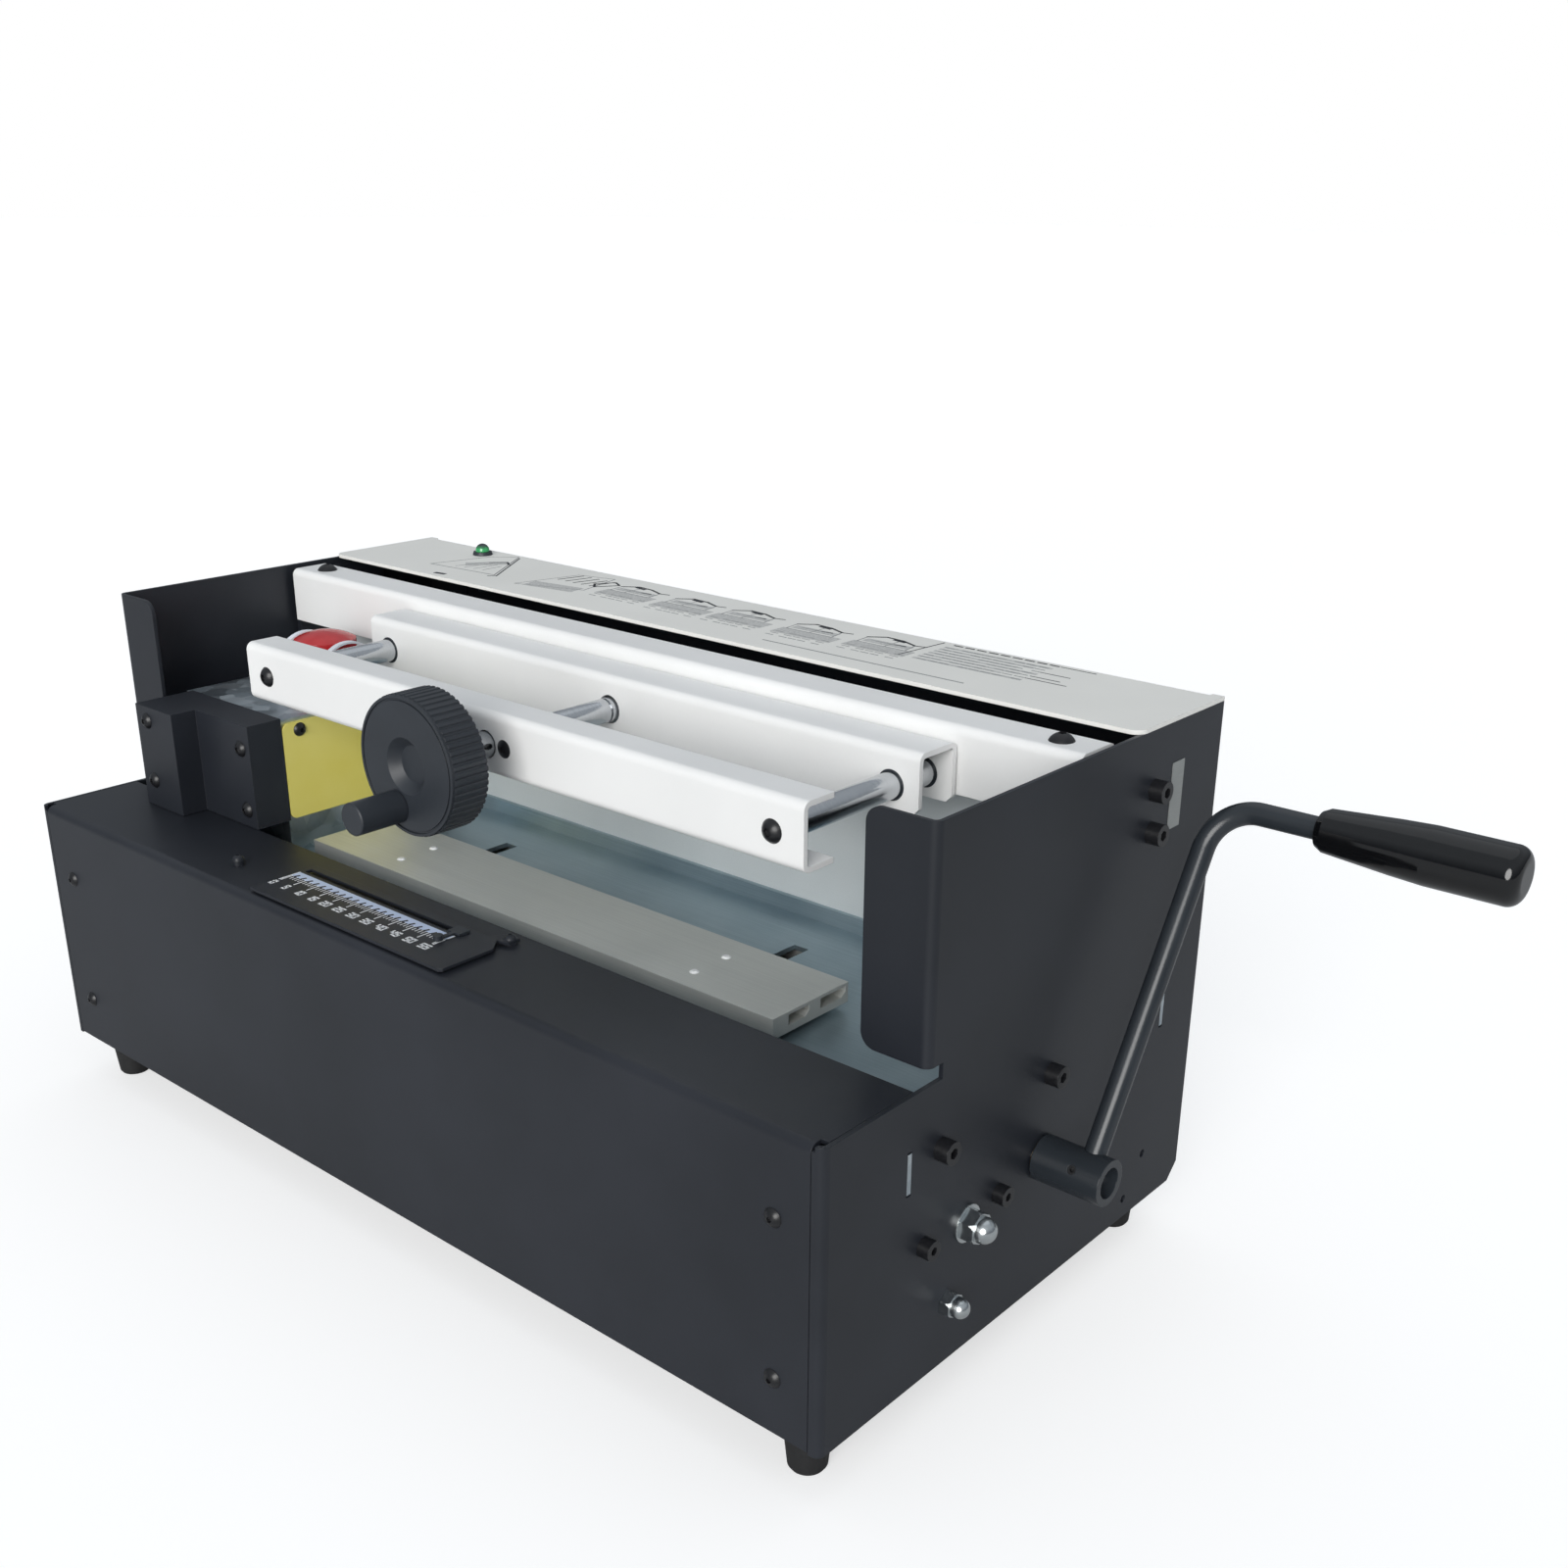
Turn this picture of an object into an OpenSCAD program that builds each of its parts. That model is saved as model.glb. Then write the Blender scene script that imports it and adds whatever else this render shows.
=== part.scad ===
// Desktop book binding machine: screw clamp for the book block, sliding nip bar,
// side lever, sheet-metal housing. X runs along the machine, Y to the back, Z up.
// The origin is on the bench, below the middle of the body.

/* [Body] */
// Length of the nip bar, the longest spine the machine takes
nip_l = 326; // [260:1:400]
// From the outside of the left panel to the nip bar
left_bay = 143; // [138:1:180]
// From the nip bar to the outside of the right panel
right_bay = 91; // [86:1:130]
// Depth from the front cover to the rear panel
body_d = 279; // [232:1:340]
// Height of the rear cover above the bench
body_h = 273.4; // [269:0.1:330]
// Height of the front deck above the bench
deck_h = 164; // [160:1:170]
// Depth of the front deck
deck_d = 56; // [52:1:58]
// Painted sheet steel thickness
sheet = 2; // [1.5:0.1:2.4]
// Outside radius of the sheet bends
bend_r = 4; // [3:0.5:6]
// Height of the feet
foot_h = 26; // [20:1:32]

/* [Side panels] */
// Distance from the front cover to the tall part of a side panel
tall_y = 62; // [60:0.5:63]
// Width of the folded edge of the tall part
tall_flange_w = 33; // [20:1:36]
// Corner radius of that folded edge
tall_flange_r = 7; // [2:0.5:12]
// Width of the folded edges behind the front cover and the rear panel
inner_flange_w = 36; // [30:1:44]
// Length of the corner cut at the lower back
corner_cut = 8; // [2:1:14]
// Width of the crossmember tabs that show in the side panels
tab_t = 2.5; // [2:0.1:3.5]

/* [Table] */
// Height of the table top above the bench
table_h = 145; // [143:0.5:147]
// Table steel thickness
table_t = 2.5; // [2:0.1:3]
// Distance from the face of the fixed rail to the crease at the back of the table
table_back = 24.2; // [20:0.1:24.5]
// Height of the turned-up rear edge of the table
table_lip_h = 8; // [4:0.5:12]
// Width of the two drive slots
slot_w = 9; // [9:0.1:12]
// Width of the heated strip between the drive slots and the back of the table
heat_w = 30.1; // [24:0.1:31]

/* [Clamp] */
// Depth of the spindle and guide rod axes below the top of the machine
clamp_drop = 25.9; // [25.4:0.1:28.4]
// Distance from the front cover to the face of the front bar
bar_y = 65; // [65:0.5:68]
// Depth of the front bar's channel
bar_d = 18.5; // [17:0.5:22]
// Height of the front bar
bar_h = 30; // [28:0.5:34]
// How far the front bar runs past each end of the nip bar
bar_over = 25.5; // [22:0.5:28]
// White clamp sheet thickness
clamp_t = 2.5; // [2:0.1:3]
// Guide rod diameter
rod_d = 12; // [10:0.1:15]
// How far outside the nip bar each guide rod stands
rod_over = 9; // [9:0.5:12]
// Jaw depth, front wall to back wall
jaw_d = 26.4; // [24:0.1:28]
// Jaw height
jaw_h = 27.5; // [26:0.5:30]
// How far the jaw runs past each end of the nip bar
jaw_over = 24; // [20:0.5:25]
// Travel of the jaw, the thickest book the machine takes
jaw_travel = 55; // [50:0.5:66]
// Depth of the fixed rail
rail_d = 26.5; // [25:0.5:32]
// Height of the fixed rail's face
rail_h = 30.5; // [26:0.5:34]

/* [Hand wheel] */
// Hand wheel diameter
wheel_d = 64; // [60:1:76]
// Hand wheel thickness
wheel_t = 19.5; // [16:0.5:24]
// Clear space between the wheel and the front bar
wheel_gap = 25.5; // [15:0.5:30]
// Spindle diameter
spindle_d = 12; // [10:0.1:15]
// Number of grip grooves round the wheel
wheel_grooves = 60; // [36:1:72]
// Crank grip diameter
peg_d = 15; // [12:0.5:18]
// Crank grip length
peg_l = 24.5; // [18:0.5:40]
// Distance of the crank grip from the wheel axis
peg_r = 21.5; // [19:0.5:23]
// Direction of the crank grip, anticlockwise from the right
peg_angle = 248; // [0:1:360]

/* [Nip bar] */
// Distance from the front cover to the nip bar
nip_y = 76.5; // [76:0.1:78]
// Depth of the nip bar
nip_d = 50.5; // [46:0.5:54]
// Thickness of the nip bar
nip_t = 9.7; // [8:0.1:14]
// Height of the nip bar above the table
nip_lift = 3; // [2:0.1:4]
// How far inside each end of the nip bar the drive posts stand
post_inset = 58; // [40:1:70]
// Travel of the nip bar
nip_travel = 48; // [30:1:48]

/* [Lever] */
// Lever shaft diameter
shaft_d = 14; // [12:0.1:17]
// Distance from the front cover to the lever shaft
shaft_y = 149; // [148:0.5:150]
// Height of the lever shaft
shaft_z = 95; // [92:0.5:98]
// Length of the lever, shaft to grip
lever_l = 168; // [140:1:200]
// Lean of the lever behind upright
lever_lean = 31; // [20:1:40]
// Lever rod diameter
lever_rod_d = 10; // [8:0.1:12]
// Radius of the lever's bend
lever_bend_r = 20; // [15:1:30]
// Grip length
grip_l = 84; // [70:1:110]
// Grip diameter
grip_d = 25; // [22:0.5:30]
// Swing of the lever
lever_swing = 90; // [60:1:90]

/* [Left housing] */
// Distance from the left panel's outside to the housing
housing_x = 34; // [34:0.5:36]
// Width of the housing
housing_w = 88.5; // [80:0.5:88.5]
// Distance from the front cover to the housing
housing_y = 76; // [76:0.5:80]
// Depth of the housing
housing_d = 88; // [84:0.5:90]
// Height of the housing's top above the bench
housing_top = 219.5; // [215:0.5:221]
// Stop button head diameter
stop_d = 34; // [30:0.5:40]
// Travel of the stop button
stop_travel = 4; // [2:0.5:6]

/* [Scale] */
// Length of the scale plate
scale_l = 144.5; // [130:0.5:160]
// Height of the scale plate above the deck
scale_lift = 1; // [0.8:0.1:5]
// Travel of the pointer
pointer_travel = 106; // [60:1:106]

/* [Fits] */
// Radial clearance of a shaft in its bore
run_fit = 0.05; // [0.02:0.01:0.1]
// Gap between sheet parts that lie side by side
sheet_fit = 0.3; // [0.2:0.05:0.5]
// Radial clearance round a screw shank
screw_fit = 0.1; // [0.05:0.01:0.2]

/* [Hidden] */
$fn = 48;
tiny = 0.01;
body_w = nip_l + left_bay + right_bay;
half_w = body_w / 2;
in_x = half_w - sheet;
clamp_x = (left_bay - right_bay) / 2;
clamp_z = body_h - clamp_drop;
rail_y = bar_y + bar_d + jaw_travel + jaw_d + 4.6;
rail_back_y = rail_y + rail_d;
rear_room = body_d - rail_back_y;
table_back_y = rail_y + table_back;
slot_back_y = table_back_y - heat_w;
table_under = table_h - table_t;
side_h = body_h - sheet;
cover_x = half_w - bend_r - sheet;
pan_edge = 18;
tall_z = deck_h + 7;
relief_y = tall_y + 10;

// Joint and fastener places, as distances from the front cover and heights
bar_x = nip_l / 2 + bar_over;
jaw_x = nip_l / 2 + jaw_over;
rod_x = nip_l / 2 + rod_over;
post_x = nip_l / 2 - post_inset;
jaw_y = rail_y - 1.5 - jaw_d;
wheel_back_y = bar_y - wheel_gap;
wheel_y = wheel_back_y - wheel_t;
peg_x = clamp_x + peg_r * cos(peg_angle);
peg_z = clamp_z + peg_r * sin(peg_angle);
bar_z = clamp_z - bar_h / 2 + 0.5;
jaw_top = clamp_z + 16.5;
rail_top = side_h - 1.4;
nip_z = table_h + nip_lift;
nip_top = nip_z + nip_t;
post_l = 28;
post_y = slot_back_y - 1.6 - nip_travel - post_l;
bar_under_z = table_under - 12.5;
crank_r = nip_travel / 2 / sin(lever_swing / 2);
crank_pin_d = 8;
crank_pin_y = shaft_y - nip_travel / 2;
crank_pin_z = shaft_z - crank_r * cos(lever_swing / 2);
crank_dip = crank_r * (1 - cos(lever_swing / 2)) + 0.2;
crank_side = 8;
yoke_t = 5;
arm_t = 6;
yoke_gap = 1.5;
boss_d = shaft_d + 7;
boss_x0 = half_w + 1;
boss_x1 = boss_x0 + 33;
lever_x = boss_x1 - 10.5;
bearing_t = 5;
bearing_x = in_x - bearing_t;
bush_d = shaft_d + 4;
bracket_y = rail_back_y + rear_room * 0.301;
m6_list = [[72.9, table_h - 12.4], [152, table_h - 10.8], [bracket_y, side_h - 27.6],
    [bracket_y, side_h - 47.1]];
m5_list = [[63.7, 91.8], [116.1, 92]];
stud_m8 = [92.9, 88.9];
stud_m6 = [81.5, 56.1];
tab_list = [52.5, body_d - 31];
tab_z0 = table_h - 24;
tab_h = 18;
front_screw_x = half_w - 24;
front_screw_z = [53, 126];
rear_screw_z = [60, 150, 240, body_h - 10];
dome_screw_y = rail_y + 12.5;
foot_x = half_w - 22;
foot_y = [20, body_d - 20];
house_x0 = -half_w + housing_x;
house_x1 = house_x0 + housing_w;
house_t = 1.5;
cover_top = housing_top + 1.5;
step_x = house_x0 + 42;
left_face_y = 41;
step_face_y = 55.5;
house_screws = [[house_x0 + 17, left_face_y, 213], [house_x0 + 17, left_face_y, 179.4],
    [house_x1 - 6, step_face_y, 207.5], [house_x1 - 6, step_face_y, 173.7]];
plate_y = [86.9, 140];
plate_z = [212.9, 170];
stop_x = house_x0 + 46;
stop_y = 138;
scale_z = deck_h + scale_lift;
scale_t = 1.5;
scale_x0 = -84;
slot_x0 = -81.5;
slot_x1 = slot_x0 + pointer_travel + 15.5;
slot_y = 35.5;
scale_slot_w = 4;
scale_posts = [[scale_x0 - 36, 20.8], [scale_x0 + scale_l - 3, 46.4]];
lamp_x = -212;
lamp_y = body_d - 15;
rear_y = rail_back_y + 8.6;
ear_r = 6;
inlet_x = -190;
switch_x = -130;
inlet_z = 70;

black = "#2b2e34";
deep_black = "#17181b";
white = "#f1f2f0";
cream = "#d6d4ce";
steel = "#7d8c92";
bright = "#c9cdd0";
zinc = "#d5d8da";

// ---- shared shapes ----
// Distance behind the front cover, as a Y place
function fy(v) = v - body_d / 2;

module slab(x0, x1, y0, y1, z0, z1) {
    translate([x0, fy(y0), z0]) cube([x1 - x0, y1 - y0, z1 - z0]);
}

module bar_along_x(d, x0, x1, y, z) {
    translate([x0, fy(y), z]) rotate([0, 90, 0]) cylinder(d = d, h = x1 - x0);
}

module bar_along_y(d, x, y0, y1, z) {
    translate([x, fy(y0), z]) rotate([-90, 0, 0]) cylinder(d = d, h = y1 - y0);
}

module bar_along_z(d, x, y, z0, z1) {
    translate([x, fy(y), z0]) cylinder(d = d, h = z1 - z0);
}

// Extrudes an outline drawn in Y (from the front cover) and Z, from x0 to x1
module across(x0, x1) {
    translate([x0, fy(0), 0]) rotate([90, 0, 90]) linear_extrude(x1 - x0) children();
}

// A square with round corners on its left side, drawn from the origin
module round_left(w, h, r) {
    translate([r, 0]) square([w - r, h]);
    translate([0, r]) square([w, h - 2 * r]);
    translate([r, r]) circle(r);
    translate([r, h - r]) circle(r);
}

// Channel section with its web on the left and its legs pointing right
module channel(depth, h, t, r) {
    difference() {
        round_left(depth, h, r);
        translate([t, t]) round_left(depth, h - 2 * t, r - t);
    }
}

// Quarter of a bent sheet: outside radius r, in the first quadrant
module bend_arc(r, t) {
    intersection() {
        difference() {
            circle(r);
            circle(r - t);
        }
        square(r);
    }
}

// Socket head screw standing on z = 0 with its shank below
module cap_screw(d, head_d, head_h, key, shank) {
    difference() {
        cylinder(d = head_d, h = head_h);
        translate([0, 0, head_h * 0.45]) cylinder(d = key, h = head_h, $fn = 6);
    }
    translate([0, 0, -shank]) cylinder(d = d, h = shank + tiny);
}

// Low round screw head standing on z = 0
module button_screw(d, head_d, head_h, key, shank) {
    r = (head_d * head_d / 4 + head_h * head_h) / (2 * head_h);
    difference() {
        intersection() {
            translate([0, 0, head_h - r]) sphere(r);
            cylinder(d = head_d, h = head_h);
        }
        translate([0, 0, head_h * 0.4]) cylinder(d = key, h = head_h, $fn = 6);
    }
    translate([0, 0, -shank]) cylinder(d = d, h = shank + tiny);
}

// Puts a piece drawn along +Z on the outside of both side panels
module on_both_sides(points) {
    for (side = [-1, 1], p = points)
        translate([side * half_w, fy(p[0]), p[1]]) rotate([0, side * 90, 0]) children();
}

module mirrored_x() {
    children();
    mirror([1, 0, 0]) children();
}

// ---- housing ----
module base_pan() color(black) {
    x = in_x;
    y0 = 2 * sheet;
    y1 = body_d - y0;
    difference() {
        slab(-x, x, y0, y1, foot_h, foot_h + pan_edge);
        slab(-x + sheet, x - sheet, y0 + sheet, y1 - sheet, foot_h + sheet, foot_h + pan_edge + 1);
        for (sx = [-1, 1], y = foot_y)
            bar_along_z(5 + 2 * screw_fit, sx * foot_x, y, foot_h - 1, foot_h + sheet + 1);
        for (i = [-7 : 7])
            slab(i * 26 - 9, i * 26 + 9, body_d / 2 - 2, body_d / 2 + 2, foot_h - 1, foot_h + sheet + 1);
    }
}

module rubber_feet() color(deep_black) {
    for (sx = [-1, 1], y = foot_y)
        translate([sx * foot_x, fy(y), 0]) difference() {
            union() {
                cylinder(d1 = 15, d2 = 17, h = 1.5);
                translate([0, 0, 1.5]) cylinder(d1 = 17, d2 = 22, h = foot_h - 1.5);
            }
            translate([0, 0, -1]) cylinder(d = 10.5, h = foot_h - 9);
            cylinder(d = 5 + 2 * screw_fit, h = foot_h + 1);
        }
}

module foot_screws() color(zinc) {
    for (sx = [-1, 1], y = foot_y)
        translate([sx * foot_x, fy(y), foot_h - 10]) rotate([180, 0, 0])
            button_screw(5, 9.5, 2.8, 3, 10 + sheet + 6);
}

// The outline of a side panel, front at 0, seen from the right
module side_outline() {
    polygon([[bend_r, foot_h], [body_d - corner_cut, foot_h], [body_d, foot_h + corner_cut],
        [body_d, side_h], [tall_y + bend_r, side_h], [tall_y + bend_r, tall_z],
        [relief_y, tall_z], [relief_y, deck_h], [bend_r, deck_h]]);
}

module side_holes() {
    for (p = m6_list)
        bar_along_x(6 + 2 * screw_fit, in_x - 8, half_w + 1, p[0], p[1]);
    for (p = m5_list)
        bar_along_x(5 + 2 * screw_fit, in_x - 8, half_w + 1, p[0], p[1]);
    bar_along_x(8 + 2 * screw_fit, in_x - 8, half_w + 1, stud_m8[0], stud_m8[1]);
    bar_along_x(6 + 2 * screw_fit, in_x - 8, half_w + 1, stud_m6[0], stud_m6[1]);
    bar_along_x(bush_d, in_x - 8, half_w + 1, shaft_y, shaft_z);
    for (p = [[body_d - 37, 54.6], [body_d - 52, 36.3]])
        bar_along_x(4, in_x - 1, half_w + 1, p[0], p[1]);
}

// Right-hand panel: outer sheet, its bends and the folded edges
module side_panel() {
    difference() {
        union() {
            across(in_x, half_w) side_outline();
            for (b = [[0, foot_h, deck_h], [tall_y, tall_z, side_h]])
                translate([half_w - bend_r, fy(b[0] + bend_r), b[1]]) rotate([0, 0, -90])
                    linear_extrude(b[2] - b[1]) bend_arc(bend_r, sheet);
            // joggle behind the front cover and its flange
            slab(half_w - bend_r - sheet + 0.4, half_w - bend_r, 0, sheet, foot_h, deck_h - sheet - 0.3);
            slab(half_w - bend_r - sheet + 0.4, half_w - bend_r, sheet, 2 * sheet, foot_h,
                deck_h - bend_r);
            slab(half_w - inner_flange_w, half_w - bend_r, sheet, 2 * sheet, foot_h + sheet,
                deck_h - bend_r);
            // folded edge of the tall part
            translate([half_w - tall_flange_w, fy(tall_y + sheet), tall_z]) rotate([90, 0, 0])
                linear_extrude(sheet)
                    round_left(tall_flange_w - bend_r, side_h - tall_z, tall_flange_r);
            // folded edge behind the rear panel
            slab(half_w - inner_flange_w, in_x + 1, body_d - 2 * sheet, body_d - sheet,
                foot_h + corner_cut + 1, side_h - 5);
            slab(half_w - 3.5, half_w - 1, body_d - 2 * sheet, body_d, foot_h + corner_cut + 1,
                side_h - 5);
        }
        side_holes();
        for (y = tab_list)
            slab(in_x - 1, half_w + 1, y - tab_t / 2 - 0.25, y + tab_t / 2 + 0.25,
                tab_z0 - 1, tab_z0 + tab_h + 1);
        for (z = front_screw_z)
            bar_along_y(4 + 2 * screw_fit, front_screw_x, 0, 3 * sheet, z);
        for (z = rear_screw_z)
            bar_along_y(4 + 2 * screw_fit, front_screw_x, body_d - 3 * sheet, body_d + 1, z);
    }
}

module side_panel_right() color(black) side_panel();

module side_panel_left() color(black) mirror([1, 0, 0]) side_panel();

module front_cover() color(black) {
    z0 = foot_h + 1;
    lip_z = table_h + 2;
    difference() {
        union() {
            slab(-cover_x, cover_x, 0, sheet, z0, deck_h - bend_r);
            slab(-cover_x, cover_x, bend_r, deck_d, deck_h - sheet, deck_h);
            across(-cover_x, cover_x) translate([bend_r, deck_h - bend_r]) rotate([0, 0, 90])
                bend_arc(bend_r, sheet);
            slab(-cover_x, cover_x, deck_d - sheet, deck_d, lip_z, deck_h);
            mirrored_x()
                slab(cover_x - 1, in_x - sheet_fit, 3 * sheet, deck_d, deck_h - sheet, deck_h);
        }
        for (sx = [-1, 1], z = front_screw_z)
            bar_along_y(4 + 2 * screw_fit, sx * front_screw_x, -1, 3, z);
        for (p = scale_posts)
            bar_along_z(3 + 2 * screw_fit, p[0], p[1], deck_h - 5, deck_h + 1);
    }
}

// A steel wall across the machine, with a tab at each end that goes through the side panel
module crossmember(y, top_z) {
    slab(-in_x + sheet, in_x - sheet, y - tab_t / 2, y + tab_t / 2, foot_h + sheet, top_z);
    slab(-in_x, in_x, y - tab_t / 2, y + tab_t / 2, foot_h + pan_edge + 1, top_z);
    slab(-half_w, half_w, y - tab_t / 2, y + tab_t / 2, tab_z0, tab_z0 + tab_h);
}

module front_crossmember() color(bright) crossmember(tab_list[0], table_h - 4);

module rear_crossmember() color(bright) {
    difference() {
        crossmember(tab_list[1], table_h + 60);
        for (i = [-3 : 3])
            bar_along_y(22, i * 68, tab_list[1] - 3, tab_list[1] + 3, 170);
    }
}

module rear_panel() color(black) {
    difference() {
        slab(-cover_x, cover_x, body_d - sheet, body_d, foot_h + 1, body_h - 18);
        for (sx = [-1, 1], z = rear_screw_z)
            bar_along_y(4 + 2 * screw_fit, sx * front_screw_x, body_d - 3, body_d + 1, z);
        for (i = [-6 : 6], z = [150, 196])
            slab(i * 12 + 98, i * 12 + 101, body_d - 3, body_d + 1, z, z + 34);
        slab(inlet_x - 13.8, inlet_x + 13.8, body_d - 3, body_d + 1, inlet_z - 10, inlet_z + 10);
        slab(switch_x - 9.7, switch_x + 9.7, body_d - 3, body_d + 1, inlet_z - 6.4, inlet_z + 6.4);
    }
}

module rear_top_cover() color(cream) {
    t = sheet;
    r = sheet + 1;
    difference() {
        union() {
            // flat top that lies on both side panels, round at its front corners
            difference() {
                translate([0, 0, body_h - t]) linear_extrude(t) hull() {
                    for (sx = [-1, 1])
                        translate([sx * (half_w - ear_r), fy(rear_y + ear_r)]) circle(ear_r);
                    translate([-half_w, fy(body_d - 1)]) square([2 * half_w, 1]);
                }
                slab(-cover_x, cover_x, body_d - r, body_d + 1, body_h - t - 1, body_h + 1);
            }
            slab(-cover_x, cover_x, body_d - t, body_d, body_h - 17.5, body_h - r);
            across(-cover_x, cover_x) translate([body_d - r, body_h - r]) bend_arc(r, t);
        }
        bar_along_z(8 + 2 * screw_fit, lamp_x, lamp_y, body_h - 4, body_h + 1);
        for (sx = [-1, 1])
            bar_along_y(4 + 2 * screw_fit, sx * front_screw_x, body_d - 3, body_d + 1, body_h - 10);
    }
}

module cover_screws() color(deep_black) {
    for (sx = [-1, 1]) {
        for (z = front_screw_z)
            translate([sx * front_screw_x, fy(0), z]) rotate([90, 0, 0])
                button_screw(4, 8.6, 2.4, 2.5, 9);
        for (z = rear_screw_z)
            translate([sx * front_screw_x, fy(body_d), z]) rotate([-90, 0, 0])
                button_screw(4, 8.6, 2.4, 2.5, 9);
    }
}

module side_screws() color(deep_black) {
    on_both_sides(m6_list) cap_screw(6, 10, 6.5, 5, 7);
    on_both_sides(m5_list) cap_screw(5, 8.8, 5.5, 4, 6.8);
}

// Thick plate inside each side panel that carries the lever shaft
module bearing_plates() color(bright) {
    mirrored_x() difference() {
        across(bearing_x, in_x)
            polygon([[56, 78], [74, 46], [92, 46], [shaft_y + 18, 76], [shaft_y + 18, 114], [56, 104]]);
        side_holes();
    }
}

module stud_bolts() color(zinc) {
    for (s = [[stud_m8, 8, 13, 5.3, 11], [stud_m6, 6, 10, 4, 9]], sx = [-1, 1])
        translate([sx * (bearing_x - s[3]), fy(s[0][0]), s[0][1]]) rotate([0, sx * 90, 0]) {
            cylinder(d = s[2] / cos(30), h = s[3], $fn = 6);
            cylinder(d = s[1], h = s[3] + bearing_t + sheet + s[4]);
        }
}

// Domed cap nut standing on z = 0
module dome_nut(flats, d, hex_h, dome_d, bore_h) {
    r = dome_d / 2;
    difference() {
        union() {
            intersection() {
                cylinder(d = flats / cos(30), h = hex_h, $fn = 6);
                cylinder(d1 = flats * 1.3, d2 = flats * 1.06, h = hex_h);
            }
            cylinder(r = r, h = bore_h - 2);
            translate([0, 0, bore_h - 2]) sphere(r);
        }
        translate([0, 0, -1]) cylinder(d = d, h = bore_h + 1);
        translate([0, 0, -20]) cube(40, center = true);
    }
}

module dome_nuts() color(zinc) {
    on_both_sides([stud_m8]) translate([0, 0, 1.6]) dome_nut(13, 8, 6.5, 11.6, 9.6);
    on_both_sides([stud_m6]) dome_nut(10, 6, 5, 9, 9.1);
}

module stud_washers() color(zinc) on_both_sides([stud_m8]) difference() {
    cylinder(d = 17, h = 1.6);
    translate([0, 0, -1]) cylinder(d = 8 + 2 * screw_fit, h = 4);
}

module side_label() color("#9a9d9c")
    slab(half_w, half_w + 0.3, body_d - 43.3, body_d - 33, side_h - 50, side_h - 19);

// ---- table ----
module table_plate() color(steel) {
    x = in_x;
    y0 = deck_d + sheet_fit;
    y1 = table_back_y + table_t;
    difference() {
        union() {
            slab(-x, x, y0, y1, table_under, table_h);
            slab(-x, x, table_back_y, y1, table_under, table_h + table_lip_h);
            mirrored_x() slab(x - table_t, x, y0 + 4, y1 - 6, tab_z0 - 5, table_h);
        }
        for (sx = [-1, 1])
            slab(clamp_x + sx * post_x - slot_w / 2, clamp_x + sx * post_x + slot_w / 2,
                post_y - 1.6, slot_back_y, table_under - 1, table_h + 1);
        for (sx = [-1, 1], p = [m6_list[0], m6_list[1]])
            translate([sx * in_x - 9, fy(p[0]), p[1]]) rotate([0, 90, 0])
                cylinder(d = 6 + 2 * screw_fit, h = 18);
    }
}

module back_plate() color("#a9afb0") {
    x = half_w - 8;
    y = table_back_y + table_t;
    slab(-x, x, y, y + 2, table_under - 14, rail_top - rail_h - 0.3);
}

module heater_bar() color(bright) {
    y0 = slot_back_y + 2.4;
    difference() {
        slab(clamp_x - nip_l / 2, clamp_x + nip_l / 2, y0, table_back_y - 1.7, table_under - 9.5,
            table_under);
        bar_along_x(6.2, clamp_x - nip_l / 2 - 1, clamp_x + nip_l / 2 + 1, y0 + 12, table_under - 4.75);
    }
}

// ---- clamp ----
module fixed_rail() color(white) {
    x = half_w - 6.5;
    difference() {
        across(-x, x) translate([rail_y, rail_top]) rotate([0, 0, -90])
            channel(rail_h, rail_d, clamp_t, bend_r);
        for (sx = [-1, 1]) {
            bar_along_z(6 + 2 * screw_fit, sx * front_screw_x, dome_screw_y, rail_top - 5, rail_top + 1);
            bar_along_y(6 + 2 * screw_fit, clamp_x + sx * rod_x, rail_y - 1, rail_y + 4, clamp_z);
        }
    }
}

module rail_brackets() color(black) {
    plate = 3.5;
    top = rail_top - clamp_t;
    mirrored_x() difference() {
        union() {
            slab(in_x - plate - 0.2, in_x, rail_y + 3, rail_back_y + rear_room * 0.471, side_h - 57, top);
            slab(half_w - 37, in_x, rail_y + bend_r, rail_back_y - bend_r, top - plate, top);
        }
        side_holes();
        bar_along_z(6 + 2 * screw_fit, front_screw_x, dome_screw_y, top - 5, top + 1);
    }
}

module rail_dome_screws() color(deep_black) {
    for (sx = [-1, 1])
        translate([sx * front_screw_x, fy(dome_screw_y), rail_top]) button_screw(6, 11.5, 3.6, 4, 12);
}

module guide_rods() color(bright) {
    for (sx = [-1, 1]) difference() {
        bar_along_y(rod_d, clamp_x + sx * rod_x, bar_y + clamp_t, rail_y, clamp_z);
        bar_along_y(6 + 2 * screw_fit, clamp_x + sx * rod_x, bar_y + 1, bar_y + 16, clamp_z);
        bar_along_y(6 + 2 * screw_fit, clamp_x + sx * rod_x, rail_y - 13, rail_y + 1, clamp_z);
    }
}

module clamp_screws() color(deep_black) {
    for (sx = [-1, 1]) translate([clamp_x + sx * rod_x, 0, clamp_z]) {
        translate([0, fy(bar_y), 0]) rotate([90, 0, 0]) button_screw(6, 10.5, 3.1, 4, 14);
        translate([0, fy(rail_y + clamp_t), 0]) rotate([-90, 0, 0]) cap_screw(6, 10, 6, 5, 13);
    }
    for (sx = [-1, 1])
        translate([clamp_x + sx * spindle_d, fy(bar_y), clamp_z]) rotate([90, 0, 0])
            button_screw(5, 8.6, 1.6, 3, 12);
}

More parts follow.
